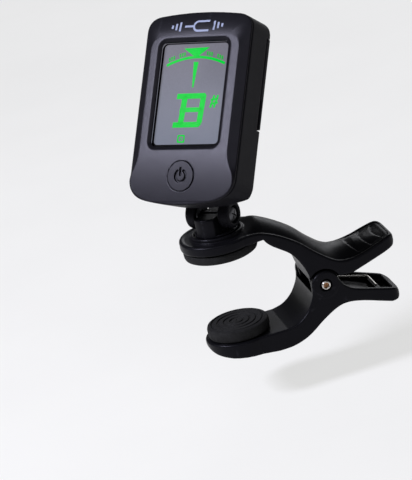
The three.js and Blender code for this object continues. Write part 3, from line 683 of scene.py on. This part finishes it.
# ---- clip: lower arm ----
JAW_SIDE = np.vstack([
    [(-9, JAW_FACE), (8, JAW_FACE)],
    smooth_curve([(10.5, -21), (12.7, -20.5), (14.4, -19.6), (15.95, -18.2), (17.1, -16.5),
                  (17.9, -14.8), (18.22, -13.1)]),
    arc(PIVOT.x, PIVOT.z, BOSS_RADIUS, 186.6, 8.6),
    smooth_curve([(26.2, -14.1), (28.1, -15.6), (30.5, -16.6), (34.9, -18.1), (38.6, -19.3)]),
    smooth_curve([(39.9, -20.1), (40.1, -21.4), (39.3, -22.4), (37.5, -22.5)]),
    smooth_curve([(34.3, -21.3), (30.7, -19.9), (27.6, -19.0), (25.4, -18.8), (23.4, -19.3),
                  (21.2, -20.4), (19, -21.75), (17.2, -23.05), (15.2, -24.3), (13, -25.2),
                  (10.6, -25.75), (7.5, -25.9)]),
    smooth_curve([(-4, -24.6), (-7.4, -23.6), (-9, -21.8)]),
])
JAW_PLAN = smooth_curve([(26, -7.9), (33, -6.9), (38.0, -6.2), (39.6, -5.1), (40.2, -3.2)])
TROUGH_FLOOR = smooth_curve([(19.7, -15.6), (21, -17.2), (23.4, -17.2), (25.4, -17.05),
                             (27.6, -17.4), (30.7, -18.4), (34.3, -19.8), (37.4, -20.9), (38.5, -20.6)])
TROUGH_PLAN = [(15, -6.5), (26, -6.5), (33, -5.5), (38.4, -4.8), (38.4, 4.8), (33, 5.5), (26, 6.5),
               (15, 6.5)]
JAW_CORE = [(-2, -30), (-2, -22.8), (9.5, -22.9), (13.4, -22.2), (15.8, -20.6), (17.3, -18.9),
            (22, -24), (22, -30)]


def lower_arm_field(x, y, z):
    plan = polygon(np.vstack([JAW_PLAN, JAW_PLAN[::-1] * (1, -1), [(3, 7.9)],
                              arc(0, 0, 8.45, 69.2, 290.8, 48), [(3, -7.9)]]), x, y)
    body = meet(polygon(JAW_SIDE, x, z), plan, 0.45)
    trough = polygon(np.vstack([TROUGH_FLOOR, [(38.5, -8), (19.7, -8)]]), x, z)
    trough = meet(trough, polygon(TROUGH_PLAN, x, y), 0.8)
    body = cut(body, trough, 0.5)
    core = meet(polygon(JAW_CORE, x, z), np.abs(y) - 6.3, 0.8)
    body = cut(body, core, 0.4)
    ribs = slab(np.mod(x + 1.6, 5.2) - 2.6, -0.45, 0.45)
    rib = np.maximum(np.maximum(ribs, np.abs(y) - 6.6), slab(z, -24.0, -22.6))
    body = join(body, np.maximum(rib, slab(x, 0, 11)), 0.3)
    body = cut(body, np.maximum(disc(x, z, BOSS_RADIUS + 0.2, (PIVOT.x, PIVOT.z)), np.abs(y) - CHEEK_INNER))
    seat = np.maximum(slab(x, 34.4, 35.8), np.maximum(np.abs(y) - 5.4, slab(z, -20.6, -18.95)))
    body = join(body, seat, 0.2)
    body = cut(body, disc(x, z, 1.35, (PIVOT.x, PIVOT.z)))
    boss = disc(x, z, BOSS_RADIUS, (PIVOT.x, PIVOT.z))
    raised = meet(boss + 0.15, np.abs(np.abs(y) - CHEEK_OUTER + 0.3) - 0.42, 0.3)
    body = join(body, raised, 0.15)
    counterbore = np.maximum(disc(x, z, 1.5, (PIVOT.x, PIVOT.z)), CHEEK_OUTER - 0.5 - np.abs(y))
    return cut(body, counterbore, 0.2)


def build_lower_arm():
    arm = moulded("lower_arm_shell", lower_arm_field, (-9.1, -8.6, -25.9), (40.3, 8.6, -9), 0.2, CLIP_PLACE)
    dress(arm, "lower_jaw", "clip_plastic", CLIP_PLASTIC, stands_for=["lower_arm"])


# ---- clip: pads, rivet and spring ----
def pad_profile(radius, face, back, ribs):
    """A pad from its face up to its back: concentric ribs on the face and a soft outer edge."""
    profile = [(0, face + 0.25)]
    for i in range(ribs):
        middle = (radius - 1.2) * (i + 0.5) / ribs
        half = (radius - 1.2) / ribs * 0.28
        profile += [(middle - half - 0.15, face + 0.25), (middle - half, face), (middle + half, face),
                    (middle + half + 0.15, face + 0.25)]
    profile += [(radius - 1.1, face + 0.25), (radius - 1.0, face), (radius - 0.6, face + 0.06),
                (radius - 0.2, face + 0.3), (radius, face + 0.8), (radius + 0.05, back - 0.5),
                (radius - 0.1, back), (0, back)]
    return profile


def build_pads():
    upper = turned("upper_pad_rubber", pad_profile(9.0, 0, DISC_BOTTOM - PLAY, 5), CLIP_PLACE, 96)
    dress(upper, "clip", "pad_rubber", PAD_RUBBER, stands_for=["upper_pad"])
    flip = Matrix.Translation((0, 0, LOWER_PAD_FACE)) @ Matrix.Rotation(math.pi, 4, "X")
    lower = turned("lower_pad_rubber", pad_profile(7.6, 0, 2.7, 4), flip, 96)
    dress(lower, "lower_jaw", "pad_rubber", PAD_RUBBER, stands_for=["lower_pad"])


def build_rivet():
    """A hollow rivet: its rolled ends stand in the cheeks' counterbores."""
    end = CHEEK_OUTER + 0.1
    rolled = [(0.66, -end + 0.5), (0.66, -end - 0.1), (0.72, -end - 0.24), (0.86, -end - 0.32),
              (1.0, -end - 0.27), (1.12, -end - 0.12), (1.15, -end + 0.15), (1.12, -end + 0.4)]
    shank = rolled + [(r, -h) for r, h in rolled[::-1]] + [rolled[0]]
    tube = turned("rivet_tube", shank, lying(PIVOT.x, 0, PIVOT.z), 48)
    plug = [(0, -end + 0.12), (0.68, -end + 0.18), (0.68, end - 0.18), (0, end - 0.12)]
    core = turned("rivet_core", plug, lying(PIVOT.x, 0, PIVOT.z), 32)
    for along in (0, math.pi / 2):
        for side in (-1, 1):
            middle = lying(PIVOT.x, side * (end - 0.12), PIVOT.z)
            carve(core, prism("slot", rectangle(0.62, 0.11), -0.3, 0.3,
                              middle @ Matrix.Rotation(along + 0.3, 4, "Z")))
    dress(tube, "clip", "bright_steel", BRIGHT_STEEL, stands_for=["pivot_rivet"])
    dress(core, "clip", "bright_steel", RIVET_CORE)


def build_spring():
    """The torsion spring: a leg under the upper handle, the coil and a leg in the lower handle."""
    coil = 1.95
    half_coil = 4.0
    turns = 9
    upper_leg = 8.6
    lower_leg = 14.2
    wire_radius = 0.29
    upper = math.radians(90)
    lower = math.radians(-105.3)
    sweep = turns * 2 * math.pi + (lower - upper) + 2 * math.pi

    def at(angle, y):
        return Vector((PIVOT.x + coil * math.cos(angle), y, PIVOT.z + coil * math.sin(angle)))

    def along(start, angle, length):
        return start + Vector((math.cos(angle), 0, math.sin(angle))) * length

    upper_end = along(at(upper, -half_coil), upper - math.pi / 2, upper_leg)
    lower_end = along(at(lower, half_coil), lower + math.pi / 2, lower_leg)
    points = [Vector((upper_end.x, 2.6, upper_end.z)),
              Vector((upper_end.x, -half_coil + 0.7, upper_end.z)),
              upper_end + Vector((-0.2, 0.2, 0)), upper_end + Vector((-0.7, 0, 0)),
              along(at(upper, -half_coil), upper - math.pi / 2, 0.6)]
    steps = turns * 24
    points += [at(upper + sweep * i / steps, half_coil * (2 * i / steps - 1)) for i in range(steps + 1)]
    back = (at(lower, half_coil) - lower_end).normalized()
    points += [along(at(lower, half_coil), lower + math.pi / 2, 0.6), lower_end + back * 0.7,
               lower_end + back * 0.2 + Vector((0, -0.2, 0)), lower_end + Vector((0, -0.7, 0)),
               Vector((lower_end.x, -3.2, lower_end.z))]
    curve = bpy.data.curves.new("spring_wire", "CURVE")
    curve.dimensions = "3D"
    curve.bevel_depth = wire_radius * MM
    curve.bevel_resolution = 3
    curve.use_fill_caps = True
    line = curve.splines.new("POLY")
    line.points.add(len(points) - 1)
    for point, place in zip(line.points, points):
        point.co = (*(place * MM), 1)
    wire = placed("spring_curve", curve)
    bpy.context.view_layer.update()
    mesh = bpy.data.meshes.new_from_object(wire.evaluated_get(bpy.context.evaluated_depsgraph_get()))
    bpy.data.objects.remove(wire)
    spring = placed("torsion_spring_wire", mesh)
    mesh.shade_smooth()
    mesh.materials.clear()
    mesh.materials.append(SPRING_STEEL)
    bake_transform(spring)
    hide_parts("torsion_spring")


# ---- neck ----
def post_field(x, y, z):
    radius = np.hypot(x, y)
    body = meet(radius - POST_RADIUS, slab(z, DISC_TOP + PLAY, POST_TOP), 0.5)
    shoulder = TILT.z - EAR_RADIUS - PLAY
    sides = np.maximum(TONGUE_HALF - np.abs(x), shoulder - z)
    body = cut(body, sides, 0.2)
    body = cut(body, disc(y, z, 1.1, (0, TILT.z)), 0.15)
    return cut(body, np.maximum(radius - 1.2, z - 8.8))


def build_neck():
    post = moulded("swivel_post_body", post_field, (-5.5, -5.5, 5), (5.5, 5.5, 10.6), 0.12, NECK_PLACE, 0.5)
    dress(post, "neck", "clip_plastic", CLIP_PLASTIC, stands_for=["swivel_post"])


# ---- head: shells ----
def bezier(*controls, steps=10):
    """A Bezier arc over its control points, without its last point."""
    t = np.arange(steps)[:, None] / steps
    points = [np.array(p, float) for p in controls]
    while len(points) > 1:
        points = [(1 - t) * a + t * b for a, b in zip(points, points[1:])]
    return points[0]


def mirrored(right_half):
    """An outline from its right half, which runs from the bottom middle to the top middle."""
    return np.vstack([right_half, right_half[::-1] * (-1, 1)])


HEAD_OUTLINE = mirrored(np.vstack([
    bezier((0, -1.08), (6.2, -1.0), (HEAD_HALF - 4.4, 0.05)),
    bezier((HEAD_HALF - 4.4, 0.05), (HEAD_HALF, 1.2), (HEAD_HALF, 5.2)),
    [(HEAD_HALF, 5.2), (HEAD_HALF, HEAD_TOP - 4.6)],
    bezier((HEAD_HALF, HEAD_TOP - 4.6), (HEAD_HALF, HEAD_TOP - 0.9), (HEAD_HALF - 4.4, HEAD_TOP - 0.6)),
    bezier((HEAD_HALF - 4.4, HEAD_TOP - 0.6), (5, HEAD_TOP), (0, HEAD_TOP)),
]))
FLARE = HEAD_HALF - 0.3
FACE_OUTLINE = mirrored(np.vstack([
    bezier((0, -0.7), (6.0, -0.62), (FLARE - 4.2, 0.4)),
    bezier((FLARE - 4.2, 0.4), (FLARE, 1.45), (FLARE, 4.6)),
    bezier((FLARE, 4.6), (FLARE, 6.8), (FACE_HALF, 8), (FACE_HALF, 12), steps=14),
    [(FACE_HALF, 12), (FACE_HALF, 36.2)],
    bezier((FACE_HALF, 36.2), (FACE_HALF, 39.4), (FACE_HALF - 3.2, 39.5)),
    bezier((FACE_HALF - 3.2, 39.5), (4, 39.9), (0, 39.9)),
]))


def face_height(u, v):
    """The front's height over the head: level round the display, flat bevels at the sides, and
    the forehead and the foot curving back."""
    beyond = np.maximum(polygon(FACE_OUTLINE, u, v), 0)
    inside = np.maximum(-polygon(HEAD_OUTLINE, u, v), 0)
    slope = beyond / np.maximum(beyond + inside, 1e-6)
    bevel = BEVEL_DROP * slope ** (1 + 0.8 * ease((v - 37) / 4))
    foot = FOOT_DROP * np.clip((FOOT_START - v) / FOOT_START, 0, None) ** 1.6
    return FACE - foot - bevel * np.clip(1 - foot / FOOT_DROP, 0, 1)


def front_field(u, v, w):
    outline = polygon(HEAD_OUTLINE, u, v)
    body = meet(w - face_height(u, v), outline, 0.25)
    body = meet(body, SEAM + 0.12 - w, 0.15)
    opening = rounded_box(u, v, *OPENING_HALF, 1.3, OPENING_MIDDLE)
    slope = np.clip(w - 15.6, 0, None)
    body = cut(body, (opening - 1.4 * slope) / np.where(slope > 0, 1.4, 1), 0.2)
    ledge = rounded_box(u, v, LENS_HALF[0] + 0.3, LENS_HALF[1] + 0.3, 1.5, (WINDOW_U, WINDOW_V))
    body = cut(body, np.maximum(ledge, w - 15.6))
    return cut(body, disc(u, v, BUTTON_RADIUS + BUTTON_GAP, (0, BUTTON_V)))


def build_front_shell():
    shell = moulded("front_shell_moulding", front_field, (-14.93, -1.6, 14.6), (14.93, 46.0, 16.5), 0.16,
                    HEAD_PLACE, 0.35)
    dress(shell, "head", "case_plastic", CASE_PLASTIC, stands_for=["front_shell"])


def rear_field(u, v, w):
    outline = polygon(HEAD_OUTLINE, u, v)
    body = meet(outline, slab(w, HEAD_BACK, SEAM - 0.12), 0.3)
    # The underside rises a little towards the back.
    belly = 1.13 * (u / 10.1) ** 2 - 1.08 + 1.1 * (SEAM - w) / (SEAM - HEAD_BACK)
    body = meet(body, belly - v, 0.3)
    inner = outline + WALL
    room = np.maximum(inner, DOOR_TOP + PLAY + WALL - w)
    low_room = np.maximum(np.maximum(inner, HEAD_BACK + WALL - w), v - DOOR_LOW + WALL + PLAY)
    body = cut(body, meet(np.minimum(room, low_room), w - 20, 0.2))
    recess = np.maximum(slab(v, DOOR_LOW - PLAY, DOOR_HIGH + 0.06), w - DOOR_TOP - 0.08)
    body = cut(body, recess, 0.05)
    body = cut(body, np.maximum(disc(u, v, CELL_RADIUS + 0.4, (0, CELL_V)), w - 14), 0.2)
    for at in CASE_SCREWS:
        post = np.maximum(disc(u, v, 1.9, at), slab(w, DOOR_TOP + PLAY, 12.4))
        body = join(body, post)
        body = cut(body, np.maximum(disc(u, v, 0.9, at), w - 14))
        body = cut(body, np.maximum(disc(u, v, 1.45, at), w - HEAD_BACK - 1.4), 0.15)
    ear = polygon(np.vstack([
        [(EAR_RADIUS, 0), (EAR_RADIUS, 1.4), (HEAD_BACK + 0.6, 1.6), (HEAD_BACK + 0.6, 8.6),
         (HEAD_BACK - 0.6, 8.6), (-1.9, 2.75)],
        arc(0, 0, EAR_RADIUS, 124.6, 360),
    ]), w, v)
    ear = meet(ear, np.abs(u) - EAR_OUTER, 0.9)
    ear = cut(ear, np.maximum(disc(v, w, POST_RADIUS + 0.5), np.abs(u) - EAR_INNER), 0.3)
    body = join(body, ear, 0.5)
    body = cut(body, np.maximum(disc(v, w, 1.1), np.abs(u) - 8))
    body = cut(body, np.maximum(disc(v, w, 2.1), EAR_OUTER - 1.3 - u), 0.2)
    hexagon = np.maximum(np.abs(v), np.abs(v) / 2 + np.abs(w) * math.sqrt(3) / 2) - 2.05
    return cut(body, np.maximum(hexagon, u + EAR_OUTER - 1.3), 0.15)


def build_rear_shell():
    shell = moulded("rear_shell_moulding", rear_field, (-14.93, -3.6, -3.6), (14.93, 46.0, 14.9), 0.2,
                    HEAD_PLACE, 0.4)
    dress(shell, "head", "case_plastic", REAR_PLASTIC, stands_for=["rear_shell"])


def door_field(u, v, w):
    outline = polygon(HEAD_OUTLINE, u, v)
    body = meet(outline - 0.02, slab(w, HEAD_BACK - 0.15, DOOR_TOP), 0.35)
    body = meet(body, slab(v, DOOR_LOW, DOOR_HIGH), 0.1)
    # A thumb rest: a shallow dish with ridges across it, and a nail slot in each side.
    dish = meet(rounded_box(u, v, 4.6, 3.0, 1.6, (0, DOOR_LOW + 4.6)), w - HEAD_BACK - 0.28, 0.3)
    body = cut(body, dish, 0.25)
    ridges = np.maximum(slab(np.mod(v - DOOR_LOW + 0.05, 1.1) - 0.55, -0.22, 0.22), w - HEAD_BACK - 0.9)
    ridges = np.maximum(ridges, HEAD_BACK - 0.05 - w)
    ridges = np.maximum(ridges, rounded_box(u, v, 3.8, 2.4, 1.2, (0, DOOR_LOW + 4.6)))
    body = join(body, ridges, 0.15)
    nail = np.maximum(slab(v, DOOR_LOW - 1, DOOR_LOW + 7.2), slab(w, DOOR_TOP - 0.55, DOOR_TOP + 1))
    return cut(body, np.maximum(nail, HEAD_HALF - 0.55 - np.abs(u)), 0.1)


def build_door():
    door = moulded("battery_door_moulding", door_field, (-14.93, 18.5, 6.1), (14.93, 40.9, 8.1), 0.15,
                   HEAD_PLACE, 0.35)
    dress(door, "door", "case_plastic", REAR_PLASTIC, stands_for=["battery_door"])


# ---- head: button ----
def button_field(u, v, w):
    """A cap that follows the foot's curve, with a generic on-off symbol sunk in it: a broken ring and a
    bar."""
    face = face_height(u, v)
    v = v - BUTTON_V
    radius = np.hypot(u, v)
    dome = w - (face + BUTTON_PROUD)
    body = meet(meet(radius - BUTTON_RADIUS, dome, 0.06), 14.3 - w)
    flange = np.maximum(radius - 4.6, slab(w, 14.3, 14.55))
    ring = np.abs(radius - 1.4) - 0.24
    gap = np.abs(np.arctan2(u, v)) - math.radians(27)
    ring = np.maximum(ring, -gap * 1.45)
    bar = rounded_box(u, v, 0.24, 1.0, 0.2, (0, 1.0))
    symbol = np.maximum(np.minimum(ring, bar), -0.4 - dome)
    return cut(join(body, flange), symbol, 0.1)


def build_button():
    button = moulded("power_button_cap", button_field, (-4.7, 1, 14.2), (4.7, 10.4, 16.9), 0.1,
                     HEAD_PLACE, 0.6)
    dress(button, "button", "case_plastic", BUTTON_PLASTIC, stands_for=["power_button"])


# ---- head: display ----
def rounded_outline(half_u, half_v, radius, u=0.0, v=0.0, steps=8):
    corners = [(half_u - radius, half_v - radius, 0), (radius - half_u, half_v - radius, 90),
               (radius - half_u, radius - half_v, 180), (half_u - radius, radius - half_v, 270)]
    return [(u + x, v + y) for cu, cv, start in corners
            for x, y in arc(cu, cv, radius, start, start + 90, steps)]


def frame_ring(outer, inner):
    """The bars of a frame between two outlines of as many points, one four-sided bar a step."""
    count = len(outer)
    return [[outer[i], outer[(i + 1) % count], inner[(i + 1) % count], inner[i]] for i in range(count)]


def build_display():
    # A near-black sheet over the LCD's edge, seen through the window's opening: painted shade of the gap
    # between the window and the panel.
    shade_gap_bars = frame_ring(rounded_outline(9.75, 12.85, 1.45, WINDOW_U, WINDOW_V),
                        rounded_outline(*LCD_HALF, 1.0, *LCD_MIDDLE))
    mask = joined("painted_gap_shade_frame", [prism("bar", bar, 14.74, 14.8, HEAD_PLACE) for bar in shade_gap_bars])
    dress(mask, "head", "window", GAP_SHADE_BLACK)
    lens = prism("window_lens", rounded_outline(*LENS_HALF, 1.5, WINDOW_U, WINDOW_V), 14.95, 15.56,
                 HEAD_PLACE, 0.03)
    dress(lens, "head", "window", CLEAR_WINDOW, stands_for=["display_window"])
    panel = prism("lcd_glass_panel", rounded_outline(10.4, 13.1, 0.3, WINDOW_U, WINDOW_V, 3), 14.1, 14.7,
                  HEAD_PLACE, 0.08)
    dress(panel, "head", "lcd", LCD_GLASS, stands_for=["lcd_panel"])


def stroke(points, widths):
    """A flat band along the points, as wide at each as given."""
    points = np.array(points, float)
    ahead = np.gradient(points, axis=0)
    ahead /= np.linalg.norm(ahead, axis=1)[:, None]
    side = np.column_stack([-ahead[:, 1], ahead[:, 0]]) * (np.array(widths, float) / 2)[:, None]
    return np.vstack([points - side, (points + side)[::-1]]).tolist()


def note_letter():
    """The note name: one bold slanted segment letter, of four bars and two stems."""
    lean = 0.07
    middle = 21.8
    shift = -0.5

    def bar(u0, u1, v, thick, cut_end=0.35):
        shape = [(u0, v - thick / 2), (u1 - cut_end, v - thick / 2), (u1, v - thick / 2 + cut_end),
                 (u1, v + thick / 2 - cut_end), (u1 - cut_end, v + thick / 2), (u0, v + thick / 2)]
        return [(u + shift + lean * (b - middle), b) for u, b in shape]

    def stem(u, v0, v1, thick):
        shape = [(u - thick / 2, v0), (u + thick / 2, v0), (u + thick / 2, v1), (u - thick / 2, v1)]
        return [(a + shift + lean * (b - middle), b) for a, b in shape]

    return [bar(-4.0, 4.15, 25.3, 1.3, 0.55), bar(-2.6, 3.5, 21.95, 1.1, 0.1),
            bar(-3.85, 4.05, 18.35, 1.3, 0.7), stem(-1.75, 18.3, 25.4, 1.5), stem(3.4, 18.6, 25.1, 1.45)]


def sharp_sign():
    lean = 0.3
    middle_u, middle_v = 6.2, 23.85
    bars = [stroke([(middle_u + k - lean * 1.4, middle_v - 1.5),
                    (middle_u + k + lean * 1.4, middle_v + 1.5)], [0.5, 0.5]) for k in (-0.5, 0.5)]
    bars += [stroke([(middle_u - 1.0, middle_v + k - 0.15), (middle_u + 1.05, middle_v + k + 0.2)],
                    [0.45, 0.45]) for k in (-0.5, 0.5)]
    return bars


def dial():
    """The meter: an arc, a triangle over its middle and the needle. Its graduations are drawn apart."""
    spread = np.linspace(-8.25, 7.95, 33)
    arch = [(u, 34.8 - 0.0275 * (u + 0.1) ** 2) for u in spread]
    shapes = [stroke(arch, np.full(33, 0.62))]
    shapes.append([(-0.2, 34.6), (3.3, 37.1), (-3.8, 37.0)])
    shapes.append(stroke([(-0.05, 33.6), (-0.1, 32.8), (-0.2, 27.4)], [1.3, 1.2, 0.35]))
    return shapes


def graduations():
    """Short unlettered marks over the meter's arc, dimmer than the rest."""
    shapes = []
    for first in (-7.6, -4.7, 2.9, 5.9):
        for u in (first, first + 0.62, first + 1.24):
            base = 34.8 - 0.0275 * (u + 0.1) ** 2 + 0.6
            shapes.append(stroke([(u, base), (u - 0.05, base + 0.95)], [0.4, 0.4]))
    return shapes


def instrument_box():
    """A small battery outline at the foot of the display, as the bars between two outlines."""
    outer = rounded_outline(1.0, 0.95, 0.25, -1.85, 14.95, 3)
    inner = rounded_outline(0.66, 0.6, 0.15, -1.85, 14.95, 3)
    bars = []
    for i in range(4):
        start = i * 4
        end = start + 4
        bars.append(outer[start:end] + inner[start:end][::-1])
        following = end % len(outer)
        bars.append([outer[end - 1], outer[following], inner[following], inner[end - 1]])
    bars.append([(-2.0, 14.7), (-1.7, 14.7), (-1.7, 15.2), (-2.0, 15.2)])
    return bars


def build_symbols():
    level = 14.72
    lit = note_letter() + sharp_sign() + dial() + instrument_box()
    for name, shapes, material in (("lcd_segments", lit, LIT_SEGMENT),
                                   ("lcd_graduations", graduations(), DIM_SEGMENT)):
        parts = [prism("segment", shape, level, level + 0.05, HEAD_PLACE) for shape in shapes]
        dress(joined(name, parts), "head", "lcd", material)


def build_print():
    """A plain tuning fork printed over the display, with sound marks either side."""
    middle = 42.0
    line = 0.5
    fork = [stroke([(-3.4, middle), (-0.9, middle)], [line, line])]
    bend = arc(0.3, middle, 1.2, 90, 270, 16)
    fork.append(stroke(np.vstack([[(3.3, middle + 1.2)], bend, [(3.3, middle - 1.2)]]), np.full(19, line)))
    marks = []
    for i, half in enumerate((1.15, 0.8, 0.45)):
        for side in (-1, 1):
            centre = side * (4.7 + 1.1 * i)
            along = [(centre, middle + half * t) for t in np.linspace(-1, 1, 9)]
            marks.append(stroke(along, np.full(9, line)))
    flat = [prism("ink", shape, 0, 0.03, HEAD_PLACE) for shape in fork + marks]
    ink = joined("fork_print", flat)
    forward = Matrix.Scale(MM, 4) @ HEAD_PLACE
    inverse = forward.inverted()
    for vertex in ink.data.vertices:
        local = inverse @ vertex.co
        rise = float(face_height(np.array([local.x]), np.array([local.y]))[0])
        vertex.co = forward @ Vector((local.x, local.y, local.z + rise))
    dress(ink, "head", "case_plastic", PRINT_INK)


# ---- screws ----
def cross_recess(place, reach, half, depth, top):
    """The cutter for a cross-head screw."""
    return [prism("arm", rectangle(reach, half), top - depth, top + 1,
                  place @ Matrix.Rotation(turn, 4, "Z")) for turn in (0, math.pi / 2)]


def build_screws():
    back_screw = [(0, 0.0), (0.5, 0.02), (1.0, 0.12), (1.28, 0.3), (1.3, 0.95), (0.6, 0.95), (0.55, 6.7),
                  (0, 7.0)]
    for i, (u, v) in enumerate(CASE_SCREWS):
        place = HEAD_PLACE @ Matrix.Translation((u, v, HEAD_BACK + 0.2))
        screw = turned(f"case_screw_head_{i + 1}", back_screw, place, 40)
        driver = place @ Matrix.Rotation(math.pi, 4, "X") @ Matrix.Rotation(0.4 * i, 4, "Z")
        for arm in cross_recess(driver, 0.8, 0.14, 0.45, 0):
            carve(screw, arm)
        dress(screw, "head", "dark_steel", DARK_STEEL, stands_for=[f"case_screw_{i + 1}"])
    across = HEAD_PLACE @ Matrix.Translation((EAR_OUTER - 0.4, 0, 0)) @ Matrix.Rotation(math.pi / 2, 4, "Y")
    tilt = turned("tilt_screw_body", [(0, -11.2), (0.85, -11.2), (0.85, -0.8), (1.7, -0.8), (1.75, -0.1),
                                      (1.55, 0.1), (1.0, 0.25), (0, 0.33)], across, 48)
    for arm in cross_recess(across, 1.0, 0.17, 0.55, 0.33):
        carve(tilt, arm)
    dress(tilt, "head", "bright_steel", DARK_STEEL, stands_for=["tilt_screw"])


# ---- the CAD nodes that stay ----
KEPT = {
    "swivel_screw": BRIGHT_STEEL,
    "swivel_washer": BRIGHT_STEEL,
    "friction_washer_left": DARK_STEEL,
    "friction_washer_right": DARK_STEEL,
    "tilt_nut": BRIGHT_STEEL,
    "light_guide": WHITE_PLASTIC,
    "backlight_led": CERAMIC,
    "zebra_strip": ZEBRA,
    "circuit_board": SOLDER_MASK,
    "controller_chip": CHIP_BLACK,
    "quartz_crystal": CRYSTAL_CAN,
    "tact_switch": SWITCH_BODY,
    "piezo_disc": PIEZO_BRASS,
    "coin_cell": CELL_STEEL,
    "negative_contact": CONTACT_GOLD,
    "positive_clip": CONTACT_GOLD,
}


def dress_kept_nodes():
    for name, material in KEPT.items():
        node = frame["nodes"][name]
        if not node.material_slots:
            node.data.materials.append(material)
        for slot in node.material_slots:
            slot.material = material


# ---- studio ----
CAMERA_ANGLES = (9.45, 20.0, 12.97)  # azimuth, elevation and roll
CAMERA_AIM = (-2.99, 0.12, 3.98)
CAMERA_DISTANCE = 0.6
CAMERA_LENS = 219.1
FLOOR_GLOW = 3.5
FLOOR_REACH = 3000.0
# Each soft box: its name, the way to it, its distance and size in metres, its power and its colour.
LIGHTS = (
    ("key_soft_box", (-0.72, -0.115, 0.66), 0.6, (0.13, 0.13), 5.6, (0.89, 0.89, 1.0)),
    ("back_strip", (0.5, 0.84, 0.27), 0.6, (0.4, 0.2), 0.5, (0.96, 0.97, 1.0)),
    ("front_box", (-0.1, -0.75, 0.65), 0.8, (0.4, 0.4), 0.8, (1, 1, 1)),
)


def build_camera():
    """Level with the display, a little above the clip, and rolled as a hand-held shot is."""
    azimuth, elevation, roll = (math.radians(a) for a in CAMERA_ANGLES)
    right = Vector((math.cos(azimuth), -math.sin(azimuth), 0))
    back = Vector((-math.sin(azimuth) * math.cos(elevation), -math.cos(azimuth) * math.cos(elevation),
                   math.sin(elevation)))
    up = back.cross(right)
    rolled_right = math.cos(roll) * right - math.sin(roll) * up
    rolled_up = math.sin(roll) * right + math.cos(roll) * up
    aim = Vector(CAMERA_AIM) * MM
    data = bpy.data.cameras.new("camera")
    data.sensor_fit = "HORIZONTAL"
    data.sensor_width = 36
    data.lens = CAMERA_LENS
    data.clip_start = 0.01
    camera = placed("camera", data)
    place = Matrix((rolled_right, rolled_up, back)).transposed().to_4x4()
    camera.matrix_world = Matrix.Translation(aim + back * CAMERA_DISTANCE) @ place
    bpy.context.scene.camera = camera


def area_light(name, toward, distance, size, power, color):
    """A soft box that faces the middle of the object from that direction."""
    data = bpy.data.lights.new(name, "AREA")
    data.shape = "RECTANGLE"
    data.size, data.size_y = size
    data.energy = power
    data.color = color
    light = placed(name, data)
    middle = Vector((0.01, 0, 0.01))
    place = Vector(toward).normalized() * distance
    turn = place.to_track_quat("Z", "Y").to_matrix().to_4x4()
    light.matrix_world = Matrix.Translation(middle + place) @ turn


def build_studio():
    nodes = Nodes("backdrop_paper")
    paper = nodes.mix(nodes.spread(nodes.noise(60, 3), 0, 1), (0.190, 0.190, 0.189), (0.195, 0.195, 0.194))
    nodes.surface(paper, nodes.spread(nodes.noise(20, 3), 0.85, 0.95), 0.1, FLOOR_GLOW)
    floor_z = CAD_BOUNDS[0][2] / MM - SWING_ROOM
    corners = [(x, y, floor_z) for x, y in rectangle(FLOOR_REACH, FLOOR_REACH)]
    floor = mesh_object("studio_floor", corners, [[0, 1, 2, 3]], CLIP_PLACE, smooth=False)
    floor.data.materials.append(nodes.material)
    world = bpy.data.worlds.new("studio")
    world.use_nodes = True
    sky = world.node_tree.nodes["Background"]
    sky.inputs["Color"].default_value = (0.95, 0.96, 1.0, 1)
    sky.inputs["Strength"].default_value = 0.10
    bpy.context.scene.world = world
    for light in LIGHTS:
        area_light(*light)
    bpy.context.scene.view_settings.view_transform = "Standard"


build_camera()
build_upper_arm()
build_lower_arm()
build_pads()
build_rivet()
build_spring()
build_neck()
build_front_shell()
build_rear_shell()
build_door()
build_button()
build_display()
build_symbols()
build_print()
build_screws()
dress_kept_nodes()
build_studio()
